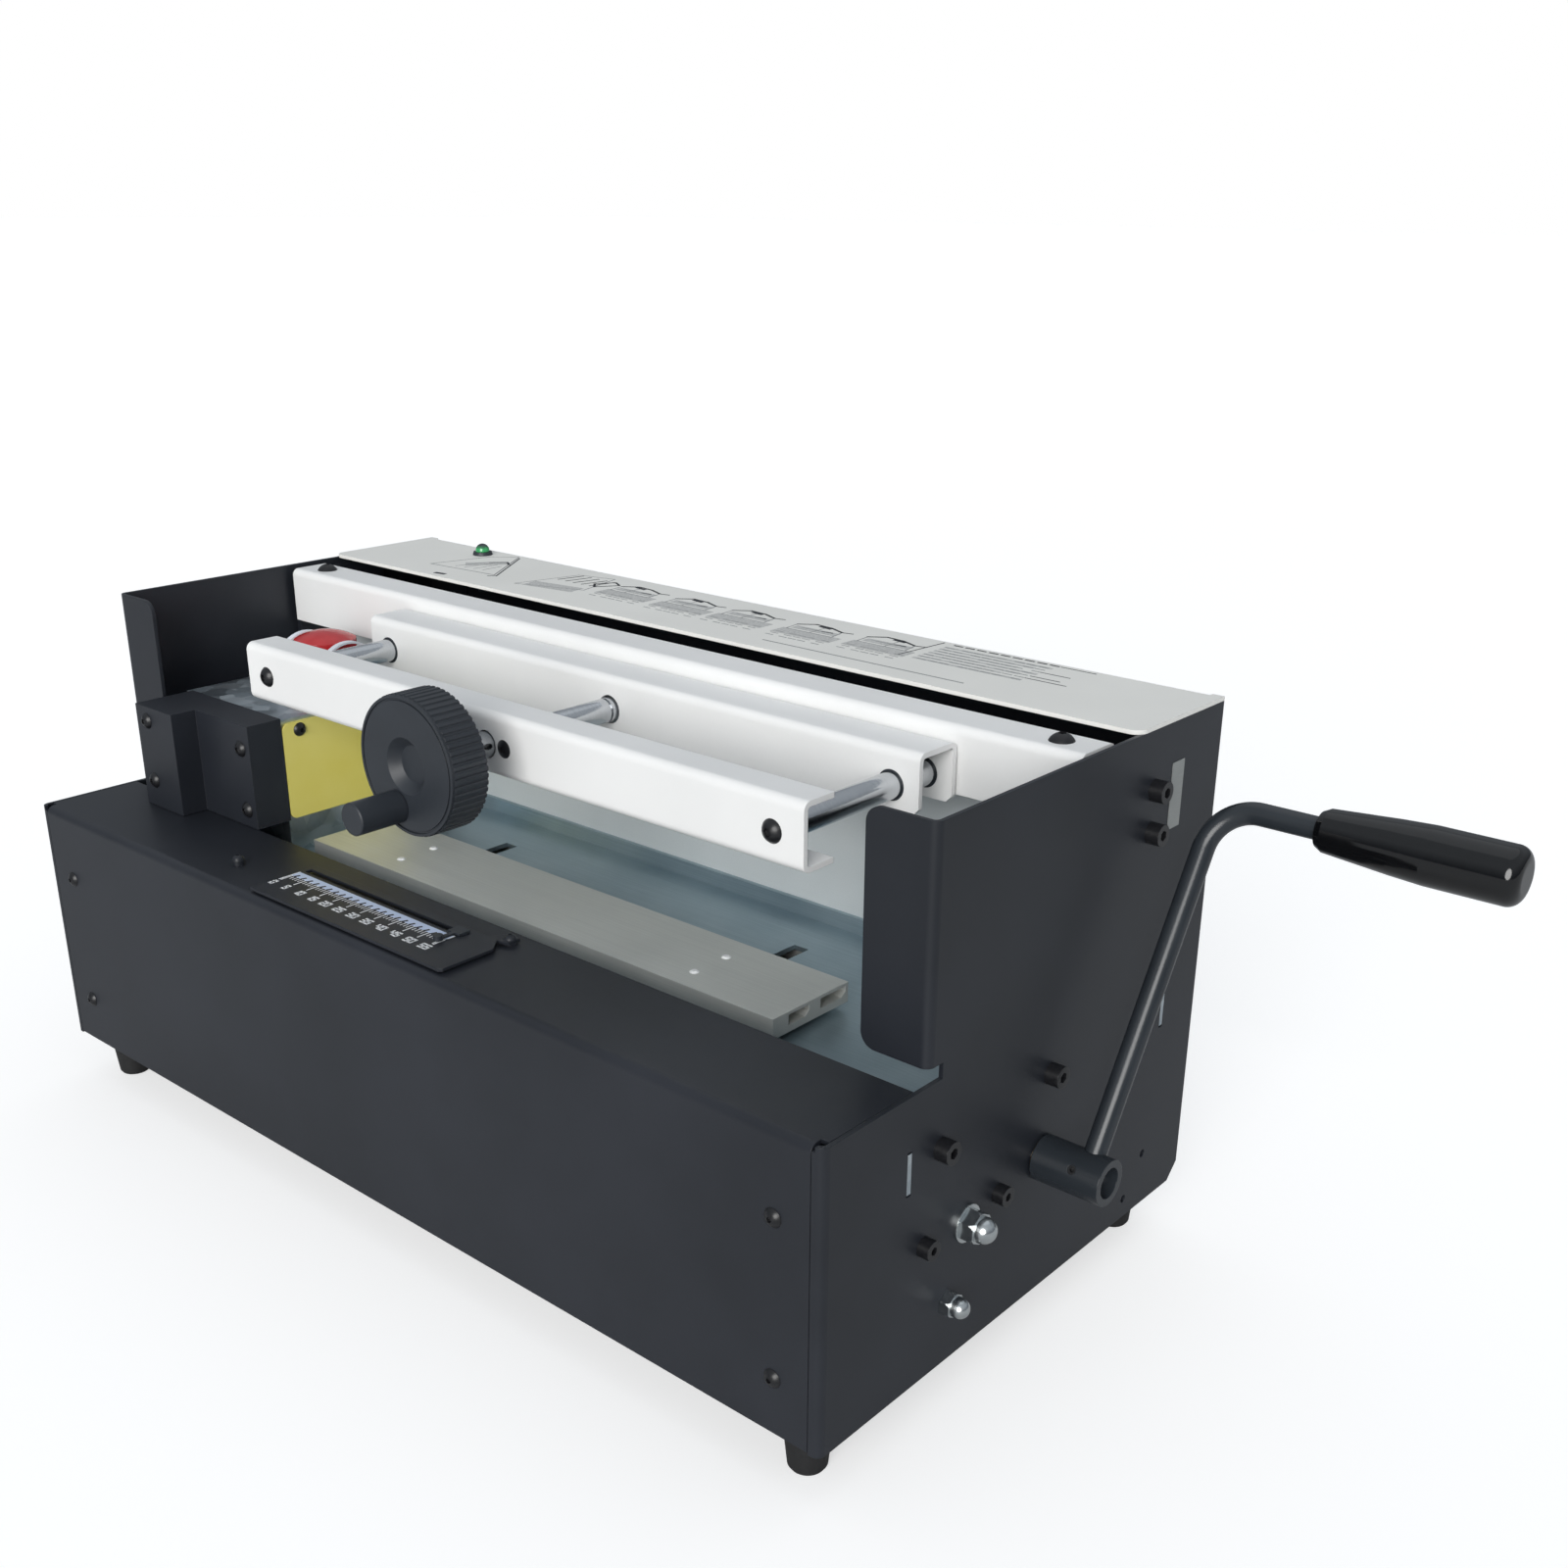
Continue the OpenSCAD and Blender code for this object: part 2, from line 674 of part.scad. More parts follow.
module front_bar() color(white) {
    difference() {
        across(clamp_x - bar_x, clamp_x + bar_x) translate([bar_y, bar_z])
            channel(bar_d, bar_h, clamp_t, bend_r);
        for (sx = [-1, 1]) {
            bar_along_y(6 + 2 * screw_fit, clamp_x + sx * rod_x, bar_y - 1, bar_y + 4, clamp_z);
            bar_along_y(5 + 2 * screw_fit, clamp_x + sx * spindle_d, bar_y - 1, bar_y + 4, clamp_z);
        }
        bar_along_y(spindle_d + 1, clamp_x, bar_y - 1, bar_y + 4, clamp_z);
    }
}

module spindle_nut() color("#b08d4a") {
    difference() {
        slab(clamp_x - spindle_d - 5, clamp_x + spindle_d + 5, bar_y + clamp_t, bar_y + bar_d - 0.5,
            clamp_z - 10, clamp_z + 10);
        bar_along_y(spindle_d + 2 * run_fit, clamp_x, bar_y, bar_y + bar_d + 1, clamp_z);
        for (sx = [-1, 1])
            bar_along_y(5 + 2 * screw_fit, clamp_x + sx * spindle_d, bar_y, bar_y + 14, clamp_z);
    }
}

module clamp_jaw() color(white) {
    cut = 3;
    difference() {
        across(clamp_x - jaw_x, clamp_x + jaw_x) translate([jaw_y, jaw_top]) rotate([0, 0, -90])
            channel(jaw_h, jaw_d, clamp_t, bend_r);
        for (sx = [-1, 1]) {
            bar_along_y(rod_d + 2, clamp_x + sx * rod_x, jaw_y - 1, jaw_y + jaw_d + 1, clamp_z);
            translate([clamp_x + sx * jaw_x, fy(jaw_y) - 1, jaw_top - jaw_h]) rotate([0, 45, 0])
                cube([cut * sqrt(2), 2 * jaw_d + 4, cut * sqrt(2)], center = true);
        }
        bar_along_y(spindle_d + 2, clamp_x, jaw_y - 1, jaw_y + clamp_t + 1, clamp_z);
    }
}

module jaw_bushes() color(deep_black) {
    for (sx = [-1, 1], y = [jaw_y, jaw_y + jaw_d - clamp_t])
        difference() {
            bar_along_y(rod_d + 2, clamp_x + sx * rod_x, y, y + clamp_t, clamp_z);
            bar_along_y(rod_d + 2 * run_fit, clamp_x + sx * rod_x, y - 1, y + clamp_t + 1, clamp_z);
        }
}

seat_d = spindle_d - 3;
keeper_y = jaw_y + bend_r + 0.1;
keeper_l = 15;

module jaw_keeper() color(steel) {
    difference() {
        slab(clamp_x - 13, clamp_x + 13, keeper_y, keeper_y + keeper_l, clamp_z - 9,
            jaw_top - clamp_t);
        bar_along_y(seat_d + 2 * run_fit, clamp_x, keeper_y - 1, keeper_y + keeper_l + 1, clamp_z);
    }
}

module spindle() color(bright) {
    end_y = keeper_y + keeper_l + 2.8;
    difference() {
        union() {
            bar_along_y(spindle_d, clamp_x, wheel_back_y - 14, keeper_y - 0.1, clamp_z);
            bar_along_y(seat_d, clamp_x, keeper_y - 1, end_y, clamp_z);
        }
        // grooves: one for the retaining clip, one run-out in front of the jaw
        for (g = [[end_y - 2.4, seat_d, 1.2], [jaw_y - 4, spindle_d, 1.2]])
            translate([clamp_x, fy(g[0]), clamp_z]) rotate([-90, 0, 0]) difference() {
                cylinder(d = g[1] + 1, h = g[2]);
                cylinder(d = g[1] - 1.6, h = g[2]);
            }
    }
}

module spindle_clip() color(steel) {
    y = keeper_y + keeper_l + 0.5;
    difference() {
        bar_along_y(seat_d + 5, clamp_x, y, y + 1, clamp_z);
        bar_along_y(seat_d - 1.6, clamp_x, y - 1, y + 2, clamp_z);
    }
}

// Drawn along +Y from its front face, on the wheel axis
module hand_wheel() color(deep_black) {
    face_t = 1.5;
    translate([clamp_x, fy(wheel_y), clamp_z]) rotate([-90, 0, 0]) difference() {
        union() {
            cylinder(d = wheel_d - 1, h = face_t);
            translate([0, 0, face_t]) linear_extrude(wheel_t - face_t) difference() {
                circle(d = wheel_d);
                for (i = [0 : wheel_grooves - 1])
                    rotate(i * 360 / wheel_grooves) translate([wheel_d / 2 + 0.2, 0])
                        circle(d = wheel_d * PI / wheel_grooves * 0.5, $fn = 16);
            }
        }
        translate([0, 0, -1]) difference() {
            cylinder(d = wheel_d - 3.4, h = 1.7);
            cylinder(d = wheel_d - 5.4, h = 1.7);
        }
        translate([0, 0, -tiny]) cylinder(d1 = 26, d2 = 17, h = 4.5);
        translate([0, 0, wheel_t - 14]) cylinder(d = spindle_d, h = 15);
        rotate([0, 0, -peg_angle]) translate([peg_r, 0, -1]) cylinder(d = 6, h = 11);
        // relief behind the rim, round the hub
        translate([0, 0, wheel_t - 7]) difference() {
            cylinder(d = wheel_d - 10, h = 8);
            cylinder(d = spindle_d + 12, h = 8);
        }
    }
}

module peg_pin() color(bright) {
    bar_along_y(6, peg_x, wheel_y - peg_l + 4, wheel_y + 10, peg_z);
}

module crank_peg() color(deep_black) {
    difference() {
        translate([peg_x, fy(wheel_y - peg_l), peg_z]) rotate([-90, 0, 0]) {
            cylinder(d1 = peg_d - 1, d2 = peg_d, h = 0.6);
            translate([0, 0, 0.6]) cylinder(d = peg_d, h = peg_l - 0.9);
        }
        bar_along_y(6 + 2 * run_fit, peg_x, wheel_y - peg_l + 3.7, wheel_y + 1, peg_z);
    }
}

// ---- nip bar and its drive ----
module nip_bar() color("#a9adab") {
    top = 1.5;
    difference() {
        slab(clamp_x - nip_l / 2, clamp_x + nip_l / 2, nip_y, nip_y + nip_d, nip_z, nip_top);
        for (cell = [[10.2, 23.8], [31.5, nip_d - 2]])
            across(clamp_x - nip_l, clamp_x + nip_l)
                polygon([[nip_y + cell[0], nip_z + 3.4], [nip_y + cell[1] - 2.6, nip_z + 3.4],
                    [nip_y + cell[1], nip_z + 5.5], [nip_y + cell[1], nip_top - top],
                    [nip_y + cell[0], nip_top - top]]);
        for (sx = [-1, 1], y = screw_y)
            bar_along_z(3.4 + 2 * screw_fit, clamp_x + sx * post_x, y, nip_z - 1, nip_top + 1);
    }
}

screw_y = [post_y + 3.5, post_y + post_l - 3.5];

module nip_glides() color("#e8e8e4") {
    for (sx = [-1, 1])
        slab(clamp_x + sx * (post_x + 30) - 8, clamp_x + sx * (post_x + 30) + 8, nip_y + 4,
            nip_y + nip_d - 3, table_h + 0.3, nip_z);
}

module nip_screws() color(zinc) {
    for (sx = [-1, 1], y = screw_y)
        translate([clamp_x + sx * post_x, fy(y), 0]) {
            translate([0, 0, bar_under_z + 2]) cylinder(d = 3.4, h = nip_top - bar_under_z - 1.9);
            translate([0, 0, nip_top]) cylinder(d1 = 4.6, d2 = 2.8, h = 0.7);
        }
}

module drive_bar() color(steel) {
    thick = 6;
    x = post_x + 12;
    difference() {
        union() {
            slab(clamp_x - x, clamp_x + x, post_y, post_y + post_l, bar_under_z, bar_under_z + thick);
            for (sx = [-1, 1])
                slab(clamp_x + sx * post_x - 4, clamp_x + sx * post_x + 4, post_y, post_y + post_l,
                    bar_under_z, nip_z);
        }
        for (sx = [-1, 1], y = screw_y)
            bar_along_z(3.4 + 2 * screw_fit, clamp_x + sx * post_x, y, bar_under_z + 1.8, nip_z + 1);
    }
}

// Plates under the drive bar; the crank pins run in their upright slots
module yoke_plates() color(bright) {
    y0 = crank_pin_y - 50;
    y1 = crank_pin_y + 14;
    low = crank_pin_z - crank_dip - 17;
    high = shaft_z - shaft_d / 2 - 4;
    slot_r = crank_pin_d / 2 + yoke_gap;
    for (sx = [-1, 1]) difference() {
        across(clamp_x + sx * (post_x + crank_side) - yoke_t / 2,
            clamp_x + sx * (post_x + crank_side) + yoke_t / 2)
            polygon([[y0, low], [y1, low], [y1, high], [y0 + 17, high], [y0 + 17, bar_under_z - 18],
                [post_y + 22, bar_under_z - 8], [post_y + 22, bar_under_z], [y0, bar_under_z]]);
        for (z = [crank_pin_z - crank_dip, crank_pin_z])
            bar_along_x(2 * slot_r, clamp_x + sx * (post_x + crank_side) - yoke_t,
                clamp_x + sx * (post_x + crank_side) + yoke_t, crank_pin_y, z);
        slab(clamp_x + sx * (post_x + crank_side) - yoke_t, clamp_x + sx * (post_x + crank_side) + yoke_t,
            crank_pin_y - slot_r, crank_pin_y + slot_r, crank_pin_z - crank_dip, crank_pin_z);
    }
}

// ---- lever ----
collar_w = 8;

module lever_shaft() color(bright) {
    bar_along_x(shaft_d, -half_w, boss_x1 - 7, shaft_y, shaft_z);
    // retaining collars inside the bushes
    mirrored_x() difference() {
        bar_along_x(shaft_d + 9, bearing_x - 2.8 - collar_w, bearing_x - 2.8, shaft_y, shaft_z);
        bar_along_x(shaft_d - 1, 0, half_w, shaft_y, shaft_z);
    }
}

module shaft_bushes() color("#b08d4a") {
    mirrored_x() difference() {
        union() {
            bar_along_x(bush_d, bearing_x, half_w - 0.2, shaft_y, shaft_z);
            bar_along_x(bush_d + 6, bearing_x - 2, bearing_x, shaft_y, shaft_z);
        }
        bar_along_x(shaft_d + 2 * run_fit, bearing_x - 3, half_w + 1, shaft_y, shaft_z);
    }
}

crank_x = post_x + crank_side + yoke_t / 2 + 1.5;

// Steel cranks clamped on the shaft, pointing forward and down at rest
module crank_arms() color(steel) {
    for (sx = [-1, 1])
        translate([clamp_x + sx * (crank_x + arm_t / 2) - arm_t / 2, fy(shaft_y), shaft_z])
            rotate([0, 90, 0]) rotate([0, 0, lever_swing / 2]) difference() {
                union() {
                    cylinder(d = shaft_d + 14, h = arm_t);
                    translate([0, -crank_r, 0]) cylinder(d = 18, h = arm_t);
                    translate([-9, -crank_r, 0]) cube([18, crank_r, arm_t]);
                }
                translate([0, 0, -1]) cylinder(d = shaft_d, h = arm_t + 2);
                translate([0, -crank_r, -1]) cylinder(d = crank_pin_d, h = arm_t + 2);
            }
}

module crank_pins() color(bright) {
    for (sx = [-1, 1])
        translate([clamp_x + sx * (crank_x - 8.5 + (arm_t + 8.5) / 2) - (arm_t + 8.5) / 2,
            fy(crank_pin_y), crank_pin_z])
            rotate([0, 90, 0]) cylinder(d = crank_pin_d, h = arm_t + 8.5);
}

// Frame of the lever: origin on the shaft axis, Z along the rod
module lever_frame() {
    translate([0, fy(shaft_y), shaft_z]) rotate([-lever_lean, 0, 0]) children();
}

socket_r = shaft_d / 2 + 0.6;

module lever_hub() color(deep_black) {
    lever_frame() difference() {
        translate([boss_x0, 0, 0]) rotate([0, 90, 0]) cylinder(d = boss_d, h = boss_x1 - boss_x0);
        translate([boss_x0 - 1, 0, 0]) rotate([0, 90, 0]) cylinder(d = shaft_d, h = boss_x1 - boss_x0 + 2);
        translate([lever_x, 0, socket_r]) cylinder(d = lever_rod_d, h = boss_d);
        translate([lever_x - 3, 0, 0]) rotate([90, 0, 0]) cylinder(d = 4, h = boss_d);
    }
}

module hub_screw() color(deep_black) {
    lever_frame() translate([lever_x - 3, -shaft_d / 2, 0]) rotate([90, 0, 0]) difference() {
        cylinder(d = 4, h = 3);
        translate([0, 0, 1.2]) cylinder(d = 2.3, h = 3, $fn = 6);
    }
}

module lever_rod() color("#22262b") {
    lever_frame() translate([lever_x, 0, 0]) {
        translate([0, 0, socket_r]) cylinder(d = lever_rod_d, h = lever_l - lever_bend_r - socket_r);
        translate([lever_bend_r, 0, lever_l - lever_bend_r]) rotate([90, 0, 0]) rotate([0, 0, 90])
            rotate_extrude(angle = 90) translate([lever_bend_r, 0]) circle(d = lever_rod_d);
        translate([lever_bend_r, 0, lever_l]) rotate([0, 90, 0])
            cylinder(d = lever_rod_d, h = grip_x - lever_x - lever_bend_r + 40);
    }
}

grip_x = lever_x + 46.5;

module lever_grip() color(deep_black) {
    end_r = 6;
    neck = lever_rod_d / 2 + 2.8;
    lever_frame() translate([grip_x, 0, lever_l]) rotate([0, 90, 0]) difference() {
        rotate_extrude() intersection() {
            union() {
                polygon([[0, 0], [neck, 0], [neck + 1.6, 3], [grip_d / 2 - 0.8, 32], [grip_d / 2, 46],
                    [grip_d / 2, grip_l - end_r], [grip_d / 2 - end_r, grip_l], [0, grip_l]]);
                translate([grip_d / 2 - end_r, grip_l - end_r]) circle(end_r);
            }
            square([grip_d, grip_l]);
        }
        translate([0, 0, -1]) cylinder(d = lever_rod_d, h = 41);
    }
}

// ---- left housing ----
module left_housing() color(bright) {
    z0 = table_h;
    difference() {
        slab(house_x0, house_x1, housing_y, housing_y + housing_d, z0, housing_top);
        slab(house_x0 + house_t, house_x1 - house_t, housing_y + house_t, housing_y + housing_d - house_t,
            z0 - 1, housing_top - house_t);
        bar_along_z(22.4, stop_x, stop_y, housing_top - 5, housing_top + 1);
        for (i = [0, 1])
            bar_along_x(4 + 2 * screw_fit, house_x1 - 3, house_x1 + 1, plate_y[i], plate_z[i]);
        for (s = house_screws)
            bar_along_y(6, s[0], housing_y - 1, housing_y + 3, s[2]);
    }
}

// Stepped sheet cover in front of the housing
module left_cover() color(black) {
    x1 = house_x1 + sheet;
    y1 = housing_y - 0.2;
    z0 = deck_h + sheet_fit;
    difference() {
        translate([0, fy(0), z0]) linear_extrude(cover_top - z0)
            polygon([[house_x0 + 7, left_face_y], [step_x, left_face_y], [step_x, step_face_y],
                [x1, step_face_y], [x1, y1], [house_x0 + 7, y1]]);
        translate([0, fy(0), z0 - 1]) linear_extrude(cover_top - z0 + 1 - sheet)
            polygon([[house_x0 + 7 + sheet, left_face_y + sheet], [step_x - sheet, left_face_y + sheet],
                [step_x - sheet, step_face_y + sheet], [x1 - sheet, step_face_y + sheet],
                [x1 - sheet, y1 + 1], [house_x0 + 7 + sheet, y1 + 1]]);
        for (s = house_screws)
            bar_along_y(5 + 2 * screw_fit, s[0], s[1] - 1, s[1] + 3, s[2]);
    }
}

// Pillars between the housing and its cover, each with its screw
module left_cover_fixings() color(deep_black) {
    for (s = house_screws) {
        difference() {
            union() {
                bar_along_y(10, s[0], s[1] + sheet, housing_y, s[2]);
                bar_along_y(6, s[0], housing_y - 1, housing_y + house_t, s[2]);
            }
            bar_along_y(5 + 2 * screw_fit, s[0], s[1], s[1] + 12, s[2]);
        }
        translate([s[0], fy(s[1]), s[2]]) rotate([90, 0, 0]) button_screw(5, 8.8, 2.6, 3, 11);
    }
    // the two screws of the yellow plate
    for (i = [0, 1])
        translate([house_x1 + sheet, fy(plate_y[i]), plate_z[i]]) rotate([0, 90, 0])
            button_screw(4, 7.6, 2.2, 2.5, 7);
}

module yellow_plate() color("#d8cc60") {
    r = 4;
    w = 74;
    h = 52.8;
    difference() {
        across(house_x1, house_x1 + sheet) translate([housing_y + 0.3, deck_h + 0.7]) {
            translate([r, 0]) square([w - 2 * r, h]);
            translate([0, r]) square([w, h - 2 * r]);
            for (x = [r, w - r], z = [r, h - r])
                translate([x, z]) circle(r);
        }
        for (i = [0, 1])
            bar_along_x(4 + 2 * screw_fit, house_x1 - 3, house_x1 + 5, plate_y[i], plate_z[i]);
    }
}

module stop_switch() color(deep_black) {
    difference() {
        union() {
            bar_along_z(30, stop_x, stop_y, housing_top, housing_top + 5);
            bar_along_z(22, stop_x, stop_y, housing_top - 14, housing_top + 1);
            slab(stop_x - 15, stop_x + 15, stop_y - 15, stop_y + 15, housing_top - 44, housing_top - 10);
        }
        bar_along_z(12 + 2 * run_fit, stop_x, stop_y, housing_top - 9, housing_top + 6);
    }
}

module stop_button() color("#b3161c") {
    z = housing_top + 5 + stop_travel + 1;
    translate([stop_x, fy(stop_y), 0]) {
        translate([0, 0, housing_top - 4]) cylinder(d = 12, h = z - housing_top + 5);
        translate([0, 0, z]) cylinder(d1 = stop_d * 0.8, d2 = stop_d, h = 3);
        translate([0, 0, z + 3]) cylinder(d = stop_d, h = 10);
        translate([0, 0, z + 13]) intersection() {
            cylinder(d = stop_d, h = 8);
            translate([0, 0, 8 - stop_d]) sphere(d = 2 * stop_d);
        }
    }
}

// ---- scale ----
module scale_plate() color(black) {
    x1 = scale_x0 + scale_l;
    ear = scale_posts[1];
    difference() {
        translate([0, fy(0), scale_z]) linear_extrude(scale_t)
            polygon([[scale_x0, 4], [x1 - 1.5, 4], [x1, 5.5], [x1, 34], [x1 - 6, 41], [x1, 43],
                [x1, 49.5], [x1 - 8, 49.5], [x1 - 12, 42], [scale_x0, 42]]);
        slab(slot_x0, slot_x1, slot_y - scale_slot_w / 2, slot_y + scale_slot_w / 2, scale_z - 1,
            scale_z + 3);
        bar_along_z(3 + 2 * screw_fit, ear[0], ear[1], scale_z - 1, scale_z + 3);
    }
    // spacer and screw under the ear
    difference() {
        bar_along_z(6.4, ear[0], ear[1], deck_h, scale_z);
        bar_along_z(3 + 2 * screw_fit, ear[0], ear[1], deck_h - 1, scale_z + 1);
    }
    translate([ear[0], fy(ear[1]), scale_z + scale_t])
        button_screw(3, 6, 2.2, 2, scale_lift + scale_t + 4);
    // screw that stands alone on the deck
    translate([scale_posts[0][0], fy(scale_posts[0][1]), deck_h + 2.6]) button_screw(3, 6, 2.6, 2, 7);
    difference() {
        bar_along_z(6.4, scale_posts[0][0], scale_posts[0][1], deck_h, deck_h + 2.6);
        bar_along_z(3 + 2 * screw_fit, scale_posts[0][0], scale_posts[0][1], deck_h - 1, deck_h + 3);
    }
    // rivet pads that hold the plate off the deck
    for (x = [scale_x0 + 8, x1 - 18])
        bar_along_z(7, x, 10, deck_h, scale_z);
}

module scale_pointer() color(deep_black) {
    x = slot_x1 - 5.1;
    top = scale_z + scale_t;
    block_w = scale_slot_w - 0.6;
    slab(x - 4, x + 4, slot_y - block_w / 2, slot_y + block_w / 2, deck_h + 0.3, top + 0.5);
    slab(x - 4, x + 4, slot_y - block_w / 2 - 1.6, slot_y + block_w / 2 + 1.6, top + 0.3, top + 1.3);
    slab(x - 1.2, x + 1.2, slot_y - 11, slot_y - 2, top + 0.4, top + 1.3);
    bar_along_z(4.6, x, slot_y - 12, top + 0.4, top + 2.8);
}

// ---- electrics ----
module indicator_lamp() {
    color(deep_black) translate([lamp_x, fy(lamp_y), body_h]) {
        difference() {
            cylinder(d1 = 12, d2 = 11, h = 2);
            translate([0, 0, 1]) cylinder(d = 8.6, h = 2);
        }
        translate([0, 0, -22]) cylinder(d = 8, h = 22 + tiny);
    }
    color("#2fa052") translate([lamp_x, fy(lamp_y), body_h + 1]) {
        cylinder(d = 8.4, h = 1.5);
        translate([0, 0, 1.5]) intersection() {
            sphere(d = 8.4);
            cylinder(d = 9, h = 5);
        }
    }
}

module power_inlet() color(deep_black) {
    w = 27;
    h = 19.4;
    difference() {
        union() {
            slab(inlet_x - 24, inlet_x + 24, body_d, body_d + 3, inlet_z - 11.5, inlet_z + 11.5);
            slab(inlet_x - w / 2, inlet_x + w / 2, body_d - 22, body_d + 1, inlet_z - h / 2, inlet_z + h / 2);
        }
        slab(inlet_x - 12, inlet_x + 12, body_d - 15, body_d + 4, inlet_z - 7.5, inlet_z + 7.5);
    }
    for (p = [[-7, -1.5], [0, 1.5], [7, -1.5]])
        slab(inlet_x + p[0] - 1, inlet_x + p[0] + 1, body_d - 16, body_d - 4, inlet_z + p[1] - 2,
            inlet_z + p[1] + 2);
}

module rocker_switch() color(deep_black) {
    w = 19;
    h = 12.4;
    difference() {
        union() {
            slab(switch_x - 10.5, switch_x + 10.5, body_d, body_d + 2, inlet_z - 7.5, inlet_z + 7.5);
            slab(switch_x - w / 2, switch_x + w / 2, body_d - 18, body_d + 1, inlet_z - h / 2,
                inlet_z + h / 2);
        }
        slab(switch_x - 8, switch_x + 8, body_d - 10, body_d + 3, inlet_z - 5, inlet_z + 5);
        bar_along_z(2.4 + 2 * run_fit, switch_x, key_y, inlet_z - 6, inlet_z + 6);
    }
}

key_y = body_d - 2.4;
key_tilt = 8;

// Rocking key, drawn with its left end pressed in
module rocker_key() color("#8c1116") {
    r = 7.4;
    translate([switch_x, fy(key_y), inlet_z]) rotate([0, 0, key_tilt]) {
        difference() {
            translate([0, 0, -4.6]) cylinder(r = r, h = 9.2);
            translate([-r - 1, -2 * r, -6]) cube([2 * r + 2, 2 * r - 2, 12]);
            translate([0, 29, -6]) cylinder(r = 24.5, h = 12, $fn = 90);
        }
        translate([0, 0, -5.8]) cylinder(d = 2.4, h = 11.6);
    }
}

// ---- pieces ----
base_pan();
rubber_feet();
foot_screws();
side_panel_left();
side_panel_right();
front_cover();
front_crossmember();
rear_crossmember();
rear_panel();
rear_top_cover();
cover_screws();
side_screws();
bearing_plates();
stud_bolts();
dome_nuts();
stud_washers();
side_label();
table_plate();
back_plate();
heater_bar();
fixed_rail();
rail_brackets();
rail_dome_screws();
guide_rods();
clamp_screws();
front_bar();
spindle_nut();
clamp_jaw();
jaw_bushes();
jaw_keeper();
spindle();
spindle_clip();
hand_wheel();
peg_pin();
crank_peg();
nip_bar();
nip_glides();
nip_screws();
drive_bar();
yoke_plates();
lever_shaft();
shaft_bushes();
crank_arms();
crank_pins();
lever_hub();
hub_screw();
lever_rod();
lever_grip();
left_housing();
left_cover();
left_cover_fixings();
yellow_plate();
stop_switch();
stop_button();
scale_plate();
scale_pointer();
indicator_lamp();
power_inlet();
rocker_switch();
rocker_key();
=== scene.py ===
import math

import bmesh
import bpy
from mathutils import Matrix, Vector


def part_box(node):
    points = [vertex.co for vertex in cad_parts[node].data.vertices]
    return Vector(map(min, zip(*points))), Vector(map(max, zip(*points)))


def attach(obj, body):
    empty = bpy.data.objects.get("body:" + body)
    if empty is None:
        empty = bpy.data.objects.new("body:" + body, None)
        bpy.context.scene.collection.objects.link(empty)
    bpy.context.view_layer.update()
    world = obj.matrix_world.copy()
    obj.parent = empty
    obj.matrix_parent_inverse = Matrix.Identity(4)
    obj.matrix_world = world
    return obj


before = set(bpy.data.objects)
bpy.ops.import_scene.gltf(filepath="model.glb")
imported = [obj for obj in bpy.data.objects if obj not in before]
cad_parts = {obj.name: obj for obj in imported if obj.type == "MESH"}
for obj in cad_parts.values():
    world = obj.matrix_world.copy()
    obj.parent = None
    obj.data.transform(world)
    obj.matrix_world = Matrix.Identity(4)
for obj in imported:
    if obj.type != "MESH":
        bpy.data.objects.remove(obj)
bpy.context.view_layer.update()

# ---- Camera ----
# It stands in front and to the right, above the level of the rear cover, and looks down on the
# machine through a lens of near normal length. A small shift places the machine in the frame.
MM = 0.001
camera_place = Vector((614.8, -550.9, 479.3)) * MM
camera_right = Vector((0.76278, 0.64658, 0.01009))
camera_up = Vector((-0.24997, 0.28043, 0.92675))
camera_back = Vector((0.59638, -0.70944, 0.37554))
turn = Matrix((camera_right, camera_up, camera_back)).transposed()
camera_data = bpy.data.cameras.new("camera")
camera_data.sensor_width = 36.0
camera_data.lens = 39.33
camera_data.shift_x = -0.0120
camera_data.shift_y = 0.0673
camera = bpy.data.objects.new("camera", camera_data)
camera.matrix_world = Matrix.Translation(camera_place) @ turn.to_4x4()
bpy.context.collection.objects.link(camera)
bpy.context.scene.camera = camera

# ---- Studio ----
# A pale floor under the machine, a broad soft light from the front right and a weak one from
# above. The room is an even grey that gets lighter upwards, for metal and gloss to reflect.
# The camera itself sees a white page behind the machine.


def linear(code):
    """An sRGB hex colour as the linear values that a shader wants."""
    out = []
    for i in (0, 2, 4):
        v = int(code[i:i + 2], 16) / 255
        out.append(v / 12.92 if v <= 0.04045 else ((v + 0.055) / 1.055) ** 2.4)
    return (*out, 1.0)


def add(tree, kind, inputs=None, **settings):
    """Adds one node; a value in inputs is either a constant or another node's output."""
    made = tree.nodes.new(kind)
    for key, value in settings.items():
        setattr(made, key, value)
    for key, value in (inputs or {}).items():
        if isinstance(value, bpy.types.NodeSocket):
            tree.links.new(value, made.inputs[key])
        else:
            made.inputs[key].default_value = value
    return made


bpy.context.scene.view_settings.view_transform = "Standard"
world = bpy.data.worlds.new("studio_room")
bpy.context.scene.world = world
world.use_nodes = True
tree = world.node_tree
tree.nodes.clear()
seen = add(tree, "ShaderNodeLightPath")
facing = add(tree, "ShaderNodeTexCoord")
height = add(tree, "ShaderNodeSeparateXYZ", {0: facing.outputs["Generated"]})
walls = add(tree, "ShaderNodeValToRGB", {0: height.outputs[2]})
walls.color_ramp.elements[0].position = 0.05
walls.color_ramp.elements[0].color = linear("6b7077")
walls.color_ramp.elements[1].position = 0.55
walls.color_ramp.elements[1].color = linear("bac0c6")
page = add(tree, "ShaderNodeBackground", {"Color": linear("ffffff"), "Strength": 1.0})
room = add(tree, "ShaderNodeBackground", {"Color": walls.outputs[0], "Strength": 0.85})
